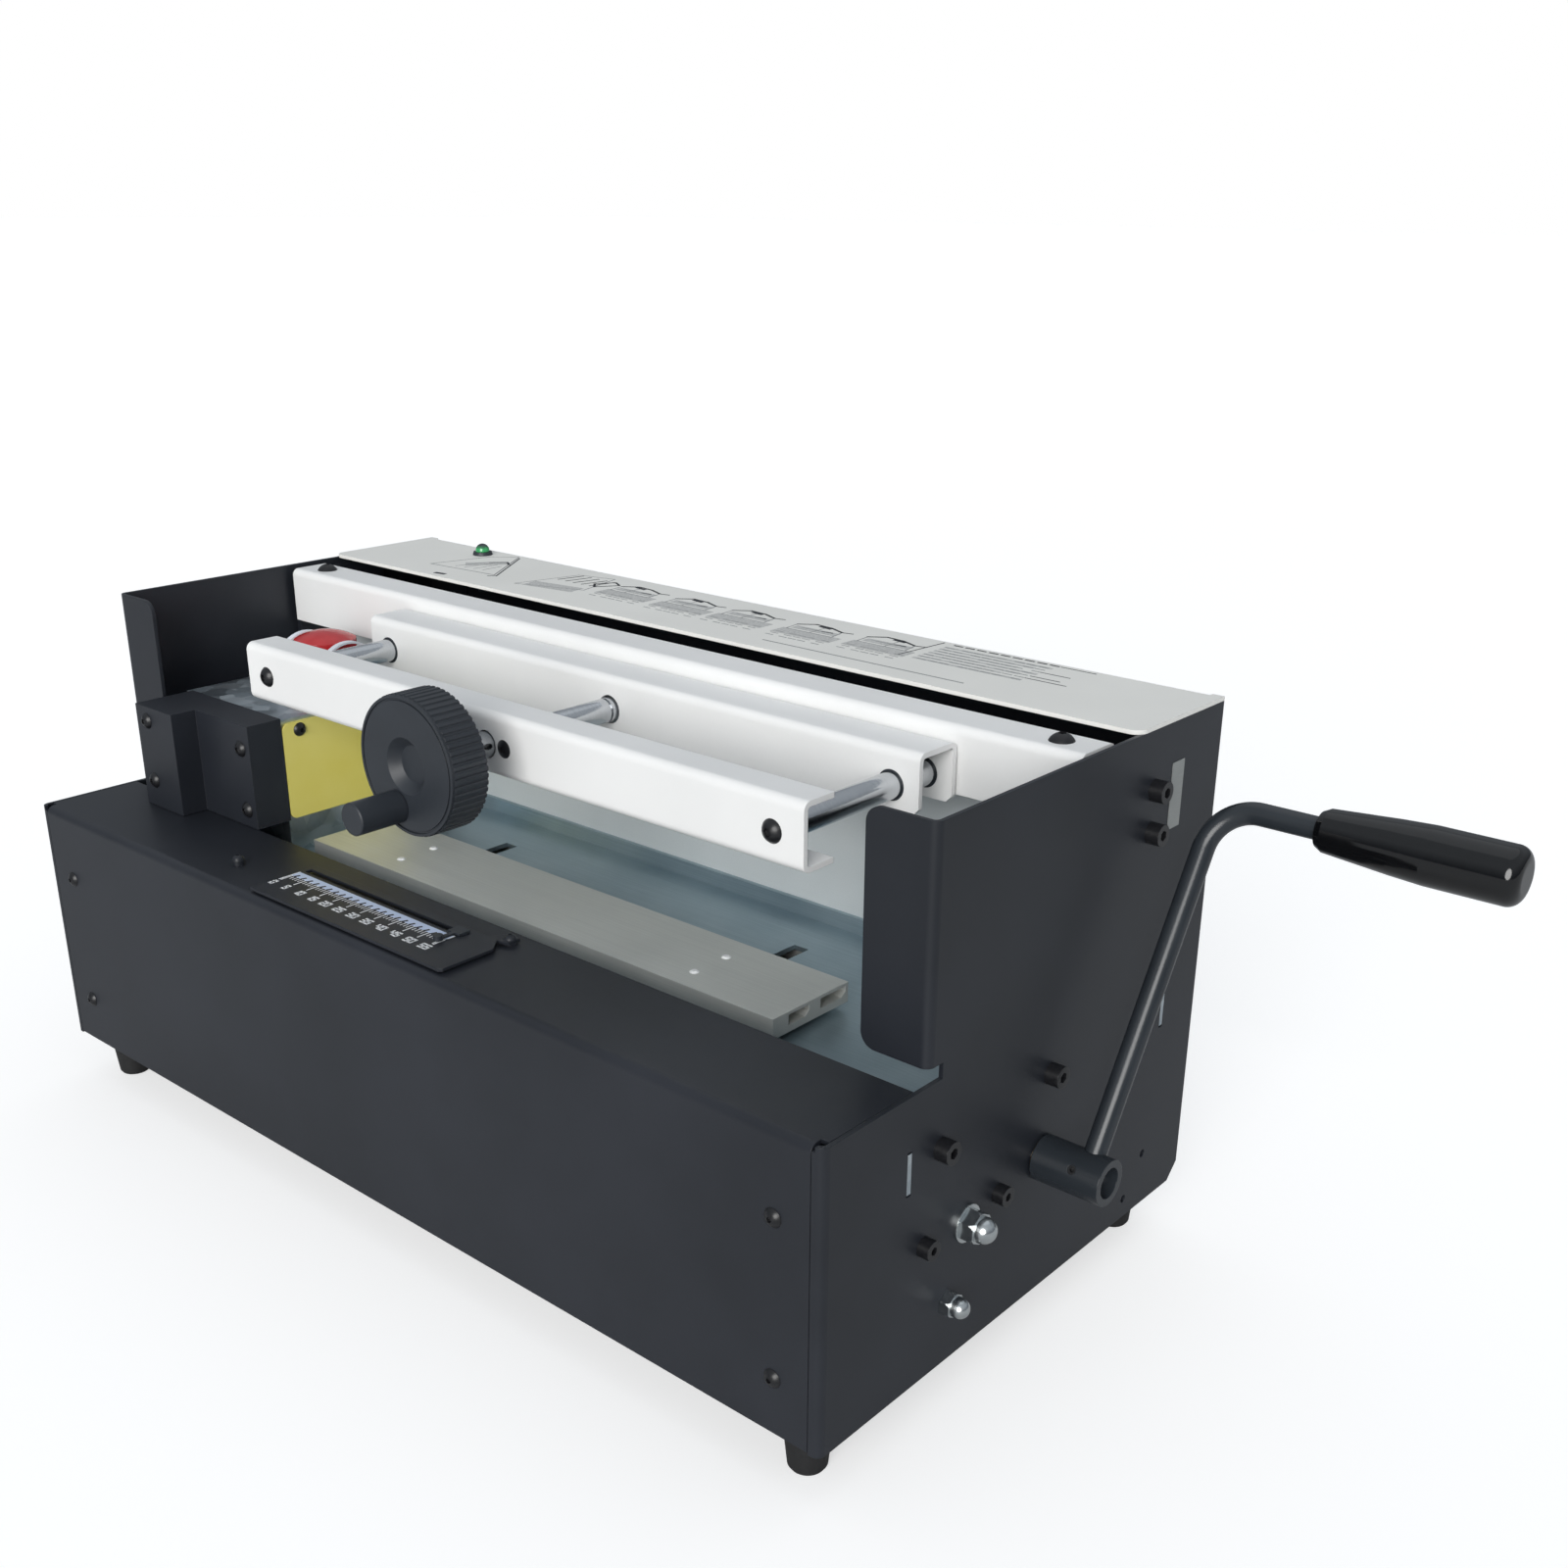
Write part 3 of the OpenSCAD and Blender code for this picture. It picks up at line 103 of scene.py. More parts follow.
mixed = add(tree, "ShaderNodeMixShader",
            {0: seen.outputs["Is Camera Ray"], 1: room.outputs[0], 2: page.outputs[0]})
add(tree, "ShaderNodeOutputWorld", {"Surface": mixed.outputs[0]})


def soft_sun(name, towards, strength, spread, tint):
    """A large, far and even light: towards is the way from the machine to the light."""
    data = bpy.data.lights.new(name, "SUN")
    data.energy = strength
    data.angle = math.radians(spread)
    data.color = linear(tint)[:3]
    lamp = bpy.data.objects.new(name, data)
    lamp.rotation_euler = Vector(towards).to_track_quat("Z", "Y").to_euler()
    bpy.context.collection.objects.link(lamp)


soft_sun("front_softbox", (0.40, -0.84, 0.32), strength=2.5, spread=40, tint="fffefc")
soft_sun("top_softbox", (-0.1, 0.25, 1.0), strength=0.2, spread=60, tint="fbfdff")

# The floor is matt paper. A little light of its own, for the camera only, takes it to near white.
paper_white = bpy.data.materials.new("matt_paper_white")
paper_white.use_nodes = True
tree = paper_white.node_tree
tree.nodes.clear()
matt = add(tree, "ShaderNodeBsdfDiffuse", {"Color": linear("d2d2d2")})
seen = add(tree, "ShaderNodeLightPath")
lift = add(tree, "ShaderNodeMath", {0: seen.outputs["Is Camera Ray"], 1: 0.55},
           operation="MULTIPLY")
glow = add(tree, "ShaderNodeEmission", {"Color": linear("ffffff"), "Strength": lift.outputs[0]})
both = add(tree, "ShaderNodeAddShader", {0: matt.outputs[0], 1: glow.outputs[0]})
add(tree, "ShaderNodeOutputMaterial", {"Surface": both.outputs[0]})
form = bmesh.new()
bmesh.ops.create_grid(form, x_segments=1, y_segments=1, size=30.0)
floor_mesh = bpy.data.meshes.new("floor")
form.to_mesh(floor_mesh)
form.free()
floor = bpy.data.objects.new("floor", floor_mesh)
floor.data.materials.append(paper_white)
bpy.context.collection.objects.link(floor)

# ---- Housing sheet metal ----
# Folded 2 mm steel sheet: two side panels, a front cover, a rear panel and the base pan, with the
# small covers and brackets on them, stoved with a fine charcoal powder coat after bending.


def fresh(name):
    """A new material with its tree, its shader and the object's own coordinates."""
    made = bpy.data.materials.new(name)
    made.use_nodes = True
    nodes = made.node_tree
    at = add(nodes, "ShaderNodeTexCoord").outputs["Object"]
    return made, nodes, nodes.nodes["Principled BSDF"], at


def every(size_mm):
    """The scale of a pattern whose marks are this many millimetres apart."""
    return 1 / (size_mm * MM)


def finish_with(material, *nodes):
    """Gives CAD nodes a finish in every one of their slots."""
    for name in nodes:
        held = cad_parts[name].data.materials
        for i in range(len(held)):
            held[i] = material


def rounded_edges(nodes, shader, radius, relief=None):
    """Softens the sharp edges of sheet and turned pieces, under the surface relief if any."""
    surface = add(nodes, "ShaderNodeBevel", {"Radius": radius}, samples=4)
    if relief:
        nodes.links.new(surface.outputs[0], relief.inputs["Normal"])
        surface = relief
    nodes.links.new(surface.outputs[0], shader.inputs["Normal"])


def powder_coat(name, dark, light, rough, grain_mm, relief, gloss=0.5):
    """Powder coat melts into a skin with a fine pebble grain: a dull gloss that breaks up close
    to, over broad and slight differences in tone. The real grain is about a third of a
    millimetre; it is drawn coarser so that it shows."""
    made, nodes, shader, at = fresh(name)
    clouds = add(nodes, "ShaderNodeTexNoise",
                 {"Vector": at, "Scale": every(111), "Detail": 3.0, "Roughness": 0.6})
    pebble = add(nodes, "ShaderNodeTexNoise",
                 {"Vector": at, "Scale": every(grain_mm), "Detail": 2.0, "Roughness": 0.55})
    tone = add(nodes, "ShaderNodeValToRGB", {0: clouds.outputs[0]})
    tone.color_ramp.elements[0].position = 0.35
    tone.color_ramp.elements[0].color = linear(dark)
    tone.color_ramp.elements[1].position = 0.68
    tone.color_ramp.elements[1].color = linear(light)
    speck = add(nodes, "ShaderNodeMixRGB", {0: 0.10, 1: tone.outputs[0], 2: pebble.outputs[0]},
                blend_type="OVERLAY")
    nodes.links.new(speck.outputs[0], shader.inputs["Base Color"])
    sheen = add(nodes, "ShaderNodeMapRange",
                {0: clouds.outputs[0], 3: rough - 0.04, 4: rough + 0.06})
    nodes.links.new(sheen.outputs[0], shader.inputs["Roughness"])
    shader.inputs["IOR"].default_value = 1.5
    shader.inputs["Specular IOR Level"].default_value = gloss
    bump = add(nodes, "ShaderNodeBump",
               {"Height": pebble.outputs[0], "Strength": relief, "Distance": 0.05 * MM})
    rounded_edges(nodes, shader, 0.5 * MM, bump)
    return made


charcoal_powder = powder_coat("charcoal_powder_coat", "1f2228", "272a31", rough=0.42,
                              grain_mm=0.7, relief=0.45, gloss=0.42)
finish_with(charcoal_powder, "side_panel_left", "side_panel_right", "front_cover", "rear_panel",
            "base_pan", "left_cover", "scale_plate", "rail_brackets")

# ---- Rear top cover ----
# A flat steel lid over the works, bent down at the rear and stoved in a warm off-white. Working
# steps are screen-printed on it as small grey pictures, with rows of bars in place of words.
warm_white_powder = powder_coat("warm_white_powder_coat", "edece7", "f2f1ec", rough=0.45,
                                grain_mm=0.6, relief=0.25, gloss=0.3)
finish_with(warm_white_powder, "rear_top_cover")


def matt_ink(name, code):
    """Screen-printed ink: flat, thin, and paler where the screen's mesh left it thinner."""
    made, nodes, shader, at = fresh(name)
    uneven = add(nodes, "ShaderNodeTexNoise", {"Vector": at, "Scale": every(1.11), "Detail": 2.0})
    tone = add(nodes, "ShaderNodeValToRGB", {0: uneven.outputs[0]})
    tone.color_ramp.elements[0].position = 0.3
    tone.color_ramp.elements[0].color = linear(code)
    paler = 1.7
    tone.color_ramp.elements[1].color = [min(1, paler * v) for v in linear(code)[:3]] + [1]
    nodes.links.new(tone.outputs[0], shader.inputs["Base Color"])
    shader.inputs["Roughness"].default_value = 0.62
    return made


def piece(name, form, material, body, smooth=False):
    """Makes a finished mesh into an object at the origin that rides on a body."""
    bmesh.ops.recalc_face_normals(form, faces=form.faces)
    made = bpy.data.meshes.new(name)
    form.to_mesh(made)
    form.free()
    for face in made.polygons:
        face.use_smooth = smooth
    made.materials.append(material)
    thing = bpy.data.objects.new(name, made)
    bpy.context.collection.objects.link(thing)
    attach(thing, body)


def print_mesh(name, lines, height, material, thick=0.04 * MM):
    """One printed colour. Each line is a list of (x, y) points and a width, in millimetres; a
    part of it is a thin bar, a little longer than its two points are apart."""
    form = bmesh.new()
    for points, width in lines:
        for (x0, y0), (x1, y1) in zip(points, points[1:]):
            along = Vector((x1 - x0, y1 - y0))
            middle = Vector(((x0 + x1) / 2 * MM, (y0 + y1) / 2 * MM, height + thick / 2))
            place = (Matrix.Translation(middle)
                     @ Matrix.Rotation(math.atan2(along.y, along.x), 4, "Z")
                     @ Matrix.Diagonal(((along.length + width * 0.6) * MM, width * MM, thick, 1)))
            bmesh.ops.create_cube(form, size=1.0, matrix=place)
    piece(name, form, material, "frame")


pale_ink = matt_ink("pale_screen_ink", "b4b4b2")
grey_ink = matt_ink("grey_screen_ink", "8b8c8c")
dark_ink = matt_ink("dark_screen_ink", "26282c")
print_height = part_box("rear_top_cover")[1].z
half_depth = 139.5    # mm from the front cover to the middle of the machine
dark_lines, grey_lines, pale_lines = [], [], []


def strokes(ink, width, *points):
    """Adds one bent line to an ink, in millimetres; y is counted from the front cover."""
    ink.append(([(x, y - half_depth) for x, y in points], width))


def step_picture(x, y, step):
    """One working step: a grey panel with a machine and a book in it, and three rows of bars."""
    strokes(pale_lines, 11.0, (x - 15, y - 14), (x + 17, y - 14))
    strokes(pale_lines, 6.0, (x - 13, y - 4), (x + 12, y - 4))
    strokes(dark_lines, 1.5, (x - 17, y + 1), (x - 9, y + 7), (x + 2, y + 6), (x + 12, y + 2))
    strokes(dark_lines, 1.0, (x + 12, y + 2), (x + 18, y + 3.4))
    strokes(dark_lines, 2.2, (x - 6 + step, y + 5), (x + 1 + step, y + 4))
    strokes(grey_lines, 0.8, (x - 17, y + 1), (x - 16, y - 9), (x + 14, y - 9), (x + 12, y + 2))
    strokes(grey_lines, 0.8, (x - 11, y - 3), (x + 10, y - 3))
    strokes(grey_lines, 0.7, (x - 2 + step, y - 9), (x - 2 + step, y + 3))
    strokes(dark_lines, 1.0, (x + 3, y - 3), (x + 9, y - 2))
    for row in range(3):
        for word in range(5):
            start = x - 16 + word * 7 + (row * 3 + word * 2) % 3
            strokes(grey_lines, 0.9, (start, y - 17 - row * 4), (start + 4.6, y - 17 - row * 4))


for i, (x, y) in enumerate(((-66, 256), (-22, 254.6), (20, 254.6), (66, 254), (110, 257))):
    step_picture(x, y, i * 1.5 - 3)
# Two larger drawings at the left: a sheet inside a triangle, and a stack of sheets being set
strokes(grey_lines, 0.9, (-213, 225), (-203, 262), (-189, 273), (-160, 229), (-213, 225))
strokes(dark_lines, 0.9, (-186, 271), (-157, 228), (-161, 225))
strokes(pale_lines, 9.0, (-195, 240), (-182, 255))
for leaf in range(4):
    strokes(grey_lines, 0.8, (-197 + 7 * leaf, 231 + leaf), (-191 + 5 * leaf, 251 - leaf))
strokes(dark_lines, 1.4, (-190, 251), (-182, 258), (-176, 254))
strokes(dark_lines, 3.0, (-190, 210.4), (-183.5, 211.4))
strokes(grey_lines, 0.8, (-134, 222), (-124, 262), (-100, 268), (-92, 236), (-134, 222))
strokes(pale_lines, 12.0, (-126, 229), (-98, 233))
for leaf in range(5):
    strokes(dark_lines, 1.1, (-124 + 6.5 * leaf, 246), (-120 + 6.5 * leaf, 262))
strokes(dark_lines, 1.3, (-94, 246), (-86, 258), (-93, 262), (-100, 252), (-94, 246))
# A block of bars in place of the words at the right, a rule beside it and one along the front
strokes(dark_lines, 0.8, (126, 240), (129, 274))
strokes(grey_lines, 1.2, (58, 218), (180, 218))
for word in range(9):
    strokes(dark_lines, 1.4, (136 + word * 7, 273), (140.6 + word * 7, 273))
strokes(dark_lines, 0.7, (198, 273), (217, 273))
for row in range(7):
    y = 267 - row * 4.4
    strokes(pale_lines, 2.6, (135, y), (196 - (row % 3) * 7, y))
    for word in range(8):
        start = 135 + word * 7.6 + (row * 5 + word * 3) % 4
        strokes(grey_lines, 1.0, (start, y), (start + 5.0, y))
    if row in (2, 4, 5):
        strokes(dark_lines, 0.7, (196, y), (212 + (row % 2) * 6, y))
print_mesh("cover_print_pale", pale_lines, print_height, pale_ink, thick=0.02 * MM)
print_mesh("cover_print_grey", grey_lines, print_height, grey_ink, thick=0.04 * MM)
print_mesh("cover_print_dark", dark_lines, print_height, dark_ink, thick=0.06 * MM)

# ---- Clamp sheet metal ----
# The fixed rail, the moving jaw and the front bar are 2.5 mm steel channels, bent and
# powder-coated in a clean white with a satin gloss.
clamp_powder = powder_coat("white_powder_coat", "ededec", "f3f3f2", rough=0.36,
                           grain_mm=0.8, relief=0.2, gloss=0.4)
finish_with(clamp_powder, "fixed_rail", "clamp_jaw", "front_bar")

# ---- Table and back plate ----
# The table is a ground steel plate left bare and oiled: it shows long fine grinding lines along
# the machine and a cool blue-grey cast. The plate behind it is sheet steel with a pale grey coat.


def drawn_metal(name, dark, light, rough, line_mm, run_mm, relief, metal):
    """Metal worked along X: thousands of parallel hairlines that stretch each reflection across
    them, with soft cloudy differences in gloss. The real lines are some tenths of a millimetre
    or less apart; they are drawn as coarse as they need to show."""
    made, nodes, shader, at = fresh(name)
    shader.inputs["Metallic"].default_value = metal
    stretched = add(nodes, "ShaderNodeMapping", {
        "Vector": at, "Scale": (every(run_mm), every(line_mm), every(line_mm))})
    lines = add(nodes, "ShaderNodeTexNoise",
                {"Vector": stretched.outputs[0], "Scale": 1.0, "Detail": 3.0, "Roughness": 0.7})
    clouds = add(nodes, "ShaderNodeTexNoise", {"Vector": at, "Scale": every(71.4), "Detail": 4.0})
    both = add(nodes, "ShaderNodeMath", {0: lines.outputs[0], 1: clouds.outputs[0]},
               operation="ADD")
    tone = add(nodes, "ShaderNodeMapRange", {0: both.outputs[0], 1: 0.7, 2: 1.3, 3: 0.0, 4: 1.0})
    colour = add(nodes, "ShaderNodeMixRGB", {0: tone.outputs[0], 1: linear(dark), 2: linear(light)})
    nodes.links.new(colour.outputs[0], shader.inputs["Base Color"])
    gloss = add(nodes, "ShaderNodeMapRange",
                {0: both.outputs[0], 1: 0.6, 2: 1.4, 3: rough - 0.07, 4: rough + 0.09})
    nodes.links.new(gloss.outputs[0], shader.inputs["Roughness"])
    bump = add(nodes, "ShaderNodeBump",
               {"Height": lines.outputs[0], "Strength": relief, "Distance": 0.02 * MM})
    rounded_edges(nodes, shader, 0.3 * MM, bump)
    return made


ground_steel = drawn_metal("ground_steel_plate", "8fa3ad", "b4c4cb", rough=0.34,
                           line_mm=0.35, run_mm=60, relief=0.25, metal=0.75)
finish_with(ground_steel, "table_plate")
pale_grey_powder = powder_coat("pale_grey_powder_coat", "c3cacc", "d0d5d7", rough=0.42,
                               grain_mm=0.7, relief=0.3)
finish_with(pale_grey_powder, "back_plate")

# ---- Nip bar ----
# A flat extruded aluminium section with two open cells, natural anodised: an even, pale
# metallic grey with faint lines along the length from the die. The heater bar is the same.
anodised_aluminium = drawn_metal("anodised_aluminium", "cdcfcb", "dfe1dc", rough=0.42,
                                 line_mm=0.5, run_mm=90, relief=0.15, metal=0.6)
finish_with(anodised_aluminium, "nip_bar", "heater_bar")

# ---- Galvanised plate and cranks ----
# Cross walls, the left housing box, bearing plates and the drive parts under the table are hot-dip
# galvanised or plain plated steel, with the broad crystal pattern that zinc leaves.
spangle, nodes, shader, at = fresh("galvanised_steel")
shader.inputs["Metallic"].default_value = 1.0
crystals = add(nodes, "ShaderNodeTexVoronoi",
               {"Vector": at, "Scale": every(9), "Randomness": 1.0})
grain = add(nodes, "ShaderNodeTexNoise", {"Vector": at, "Scale": every(2.38), "Detail": 3.0})
facet = add(nodes, "ShaderNodeSeparateColor", {0: crystals.outputs["Color"]})
tone = add(nodes, "ShaderNodeMixRGB",
           {0: facet.outputs[0], 1: linear("b3bec5"), 2: linear("d5dde1")})
dirty = add(nodes, "ShaderNodeMixRGB", {0: 0.18, 1: tone.outputs[0], 2: grain.outputs[0]},
            blend_type="SOFT_LIGHT")
nodes.links.new(dirty.outputs[0], shader.inputs["Base Color"])
gloss = add(nodes, "ShaderNodeMapRange", {0: facet.outputs[1], 3: 0.28, 4: 0.48})
nodes.links.new(gloss.outputs[0], shader.inputs["Roughness"])
rounded_edges(nodes, shader, 0.3 * MM, add(
    nodes, "ShaderNodeBump", {"Height": facet.outputs[2], "Strength": 0.12, "Distance": 0.05 * MM}))
finish_with(spangle, "front_crossmember", "rear_crossmember", "left_housing", "bearing_plates",
            "yoke_plates", "drive_bar", "crank_arms", "jaw_keeper")

# ---- Rods, spindle and shaft ----
# Ground and hard-chromed steel bar: mirror-bright, with fine grinding lines round the bar that
# blur reflections along it. The real lines are finer than can show, so they are drawn coarser.
hard_chrome, nodes, shader, at = fresh("hard_chrome")
shader.inputs["Metallic"].default_value = 1.0
rings = add(nodes, "ShaderNodeMapping",
            {"Vector": at, "Scale": (every(5), every(0.385), every(5))})
lines = add(nodes, "ShaderNodeTexNoise", {"Vector": rings.outputs[0], "Scale": 1.0, "Detail": 2.0})
tone = add(nodes, "ShaderNodeMixRGB",
           {0: lines.outputs[0], 1: linear("b4b7bb"), 2: linear("cfd2d5")})
nodes.links.new(tone.outputs[0], shader.inputs["Base Color"])
gloss = add(nodes, "ShaderNodeMapRange", {0: lines.outputs[0], 3: 0.10, 4: 0.26})
nodes.links.new(gloss.outputs[0], shader.inputs["Roughness"])
rounded_edges(nodes, shader, 0.25 * MM, add(
    nodes, "ShaderNodeBump", {"Height": lines.outputs[0], "Strength": 0.08, "Distance": 0.01 * MM}))
finish_with(hard_chrome, "guide_rods", "spindle", "lever_shaft", "crank_pins", "peg_pin")

# ---- Plated fasteners ----
# Bright zinc on steel: domed nuts, washers, studs, foot screws and the clip on the clamp screw.
# The plating is shiny with a bluish tint and slightly milky patches.
bright_zinc, nodes, shader, at = fresh("bright_zinc_plate")
shader.inputs["Metallic"].default_value = 1.0
patches = add(nodes, "ShaderNodeTexNoise", {"Vector": at, "Scale": every(3.85), "Detail": 3.0})
tone = add(nodes, "ShaderNodeMixRGB",
           {0: patches.outputs[0], 1: linear("b9c0c4"), 2: linear("dadddc")})
nodes.links.new(tone.outputs[0], shader.inputs["Base Color"])
gloss = add(nodes, "ShaderNodeMapRange", {0: patches.outputs[0], 3: 0.14, 4: 0.34})
nodes.links.new(gloss.outputs[0], shader.inputs["Roughness"])
rounded_edges(nodes, shader, 0.3 * MM)
finish_with(bright_zinc, "stud_bolts", "dome_nuts", "stud_washers", "foot_screws", "spindle_clip")

# ---- Nip bar screws ----
# Four small nickel-plated screws hold the nip bar to its glides. Their low heads are painted near
# white and half matt: a painted highlight that stands in for the glint on them.
nickel_painted_glint, nodes, shader, at = fresh("nickel_painted_glint")
glint_mottle = add(nodes, "ShaderNodeTexNoise", {"Vector": at, "Scale": every(0.455), "Detail": 3.0})
# The near-white colour, slightly mottled, is the painted highlight of the screw heads.
tone = add(nodes, "ShaderNodeMixRGB",
           {0: glint_mottle.outputs[0], 1: linear("f1f2f3"), 2: linear("fbfbfb")})
nodes.links.new(tone.outputs[0], shader.inputs["Base Color"])
shader.inputs["Metallic"].default_value = 0.25
shader.inputs["Roughness"].default_value = 0.35
finish_with(nickel_painted_glint, "nip_screws")

# ---- Black screws ----
# Socket screws in black oxide, dipped in oil: near black with a soft low shine, and a little
# greyer where the finish is thin.
black_oxide, nodes, shader, at = fresh("black_oxide_steel")
patches = add(nodes, "ShaderNodeTexNoise", {"Vector": at, "Scale": every(1.67), "Detail": 3.0})
tone = add(nodes, "ShaderNodeMixRGB",
           {0: patches.outputs[0], 1: linear("0f1012"), 2: linear("1f1f22")})
nodes.links.new(tone.outputs[0], shader.inputs["Base Color"])
gloss = add(nodes, "ShaderNodeMapRange", {0: patches.outputs[0], 3: 0.24, 4: 0.42})
nodes.links.new(gloss.outputs[0], shader.inputs["Roughness"])
rounded_edges(nodes, shader, 0.3 * MM)
finish_with(black_oxide, "cover_screws", "side_screws", "rail_dome_screws", "clamp_screws",
            "left_cover_fixings", "hub_screw")

# ---- Bronze nut and bushes ----
# The spindle nut block and the two lever shaft bushes are turned from bronze bar: warm brown
# gold, mottled by fine tool marks.
turned_bronze, nodes, shader, at = fresh("turned_bronze")
shader.inputs["Metallic"].default_value = 1.0
tooling = add(nodes, "ShaderNodeTexNoise", {"Vector": at, "Scale": every(0.667), "Detail": 2.0})
tone = add(nodes, "ShaderNodeMixRGB",
           {0: tooling.outputs[0], 1: linear("9a7236"), 2: linear("c09a55")})
nodes.links.new(tone.outputs[0], shader.inputs["Base Color"])
shader.inputs["Roughness"].default_value = 0.33
rounded_edges(nodes, shader, 0.3 * MM)
finish_with(turned_bronze, "spindle_nut", "shaft_bushes")

# ---- Hand wheel and black mouldings ----
# Glass-filled nylon: the grooved hand wheel, its crank peg, the rod bushes, the switch bodies,
# the inlet and the scale pointer. Matt black-grey with a spark-eroded grain, drawn a little
# coarser than the real one, and a faint sheen on the high spots.
black_nylon, nodes, shader, at = fresh("moulded_black_nylon")
grain = add(nodes, "ShaderNodeTexNoise", {"Vector": at, "Scale": every(0.35), "Detail": 2.0})
broad = add(nodes, "ShaderNodeTexNoise", {"Vector": at, "Scale": every(25), "Detail": 3.0})
tone = add(nodes, "ShaderNodeMixRGB",
           {0: broad.outputs[0], 1: linear("22262c"), 2: linear("2f343b")})
nodes.links.new(tone.outputs[0], shader.inputs["Base Color"])
gloss = add(nodes, "ShaderNodeMapRange", {0: grain.outputs[0], 3: 0.38, 4: 0.56})
nodes.links.new(gloss.outputs[0], shader.inputs["Roughness"])
shader.inputs["IOR"].default_value = 1.53
rounded_edges(nodes, shader, 0.4 * MM, add(
    nodes, "ShaderNodeBump", {"Height": grain.outputs[0], "Strength": 0.3, "Distance": 0.04 * MM}))
finish_with(black_nylon, "hand_wheel", "crank_peg", "jaw_bushes", "stop_switch", "indicator_lamp",
            "power_inlet", "rocker_switch", "scale_pointer")

# ---- Lever rod and hub ----
# Mild steel rod and a turned hub, sprayed with black enamel over a wiped surface: smooth, with a
# soft long highlight that wavers where the paint flowed before it set.
black_enamel, nodes, shader, at = fresh("black_enamel")
flow = add(nodes, "ShaderNodeTexNoise", {"Vector": at, "Scale": every(22.2), "Detail": 2.0})
tone = add(nodes, "ShaderNodeMixRGB",
           {0: flow.outputs[0], 1: linear("24282d"), 2: linear("2e3338")})
nodes.links.new(tone.outputs[0], shader.inputs["Base Color"])
gloss = add(nodes, "ShaderNodeMapRange", {0: flow.outputs[0], 3: 0.18, 4: 0.30})
nodes.links.new(gloss.outputs[0], shader.inputs["Roughness"])
shader.inputs["IOR"].default_value = 1.5
rounded_edges(nodes, shader, 0.5 * MM, add(
    nodes, "ShaderNodeBump", {"Height": flow.outputs[0], "Strength": 0.05, "Distance": 0.05 * MM}))
finish_with(black_enamel, "lever_rod", "lever_hub")

# ---- Lever grip ----
# A compression-moulded phenolic grip, screwed on the end of the rod and buffed to a high gloss.
# Hand polishing leaves it faintly rippled, so reflections wander a little.
phenolic, nodes, shader, at = fresh("polished_black_phenolic")
ripple = add(nodes, "ShaderNodeTexNoise", {"Vector": at, "Scale": every(18.2), "Detail": 1.0})
smear = add(nodes, "ShaderNodeTexNoise", {"Vector": at, "Scale": every(3.33), "Detail": 3.0})
tone = add(nodes, "ShaderNodeMixRGB",
           {0: smear.outputs[0], 1: linear("050506"), 2: linear("0d0e10")})
nodes.links.new(tone.outputs[0], shader.inputs["Base Color"])
gloss = add(nodes, "ShaderNodeMapRange", {0: smear.outputs[0], 3: 0.05, 4: 0.12})
nodes.links.new(gloss.outputs[0], shader.inputs["Roughness"])
shader.inputs["IOR"].default_value = 1.58
rounded_edges(nodes, shader, 0.5 * MM, add(
    nodes, "ShaderNodeBump", {"Height": ripple.outputs[0], "Strength": 0.25, "Distance": 0.3 * MM}))
finish_with(phenolic, "lever_grip")

# ---- Feet ----
# Four feet moulded in rubber, each held up against the base pan by a screw. Dull black, with
# dust greyed into the grain.
foot_rubber, nodes, shader, at = fresh("moulded_rubber")
dust = add(nodes, "ShaderNodeTexNoise", {"Vector": at, "Scale": every(2), "Detail": 4.0})
tone = add(nodes, "ShaderNodeMixRGB",
           {0: dust.outputs[0], 1: linear("141415"), 2: linear("242425")})
nodes.links.new(tone.outputs[0], shader.inputs["Base Color"])
shader.inputs["Roughness"].default_value = 0.62
rounded_edges(nodes, shader, 0.8 * MM, add(
    nodes, "ShaderNodeBump", {"Height": dust.outputs[0], "Strength": 0.3, "Distance": 0.06 * MM}))
finish_with(foot_rubber, "rubber_feet")

# ---- Nip bar glides ----
# Two acetal pads under the nip bar, milled from natural white bar: waxy, and slightly
# see-through at the edges.
acetal, nodes, shader, at = fresh("natural_acetal")
wax = add(nodes, "ShaderNodeTexNoise", {"Vector": at, "Scale": every(5), "Detail": 2.0})
tone = add(nodes, "ShaderNodeMixRGB", {0: wax.outputs[0], 1: linear("dedcd3"), 2: linear("ebe9e2")})
nodes.links.new(tone.outputs[0], shader.inputs["Base Color"])
shader.inputs["Roughness"].default_value = 0.35
shader.inputs["Subsurface Weight"].default_value = 0.1
finish_with(acetal, "nip_glides")

# ---- Yellow side plate ----
# A steel plate on the inner side of the left housing, painted by brush in pale safety yellow:
# the brush left faint level streaks in the gloss.
yellow_enamel, nodes, shader, at = fresh("pale_yellow_enamel")
brushed = add(nodes, "ShaderNodeMapping",
              {"Vector": at, "Scale": (every(16.7), every(16.7), every(2))})
drag = add(nodes, "ShaderNodeTexNoise", {"Vector": brushed.outputs[0], "Scale": 1.0, "Detail": 4.0})
clouds = add(nodes, "ShaderNodeTexNoise", {"Vector": at, "Scale": every(33.3), "Detail": 4.0})
tone = add(nodes, "ShaderNodeMixRGB",
           {0: clouds.outputs[0], 1: linear("e6d75f"), 2: linear("f2e788")})
nodes.links.new(tone.outputs[0], shader.inputs["Base Color"])
gloss = add(nodes, "ShaderNodeMapRange", {0: drag.outputs[0], 3: 0.28, 4: 0.46})
nodes.links.new(gloss.outputs[0], shader.inputs["Roughness"])
rounded_edges(nodes, shader, 0.5 * MM, add(
    nodes, "ShaderNodeBump", {"Height": drag.outputs[0], "Strength": 0.12, "Distance": 0.05 * MM}))
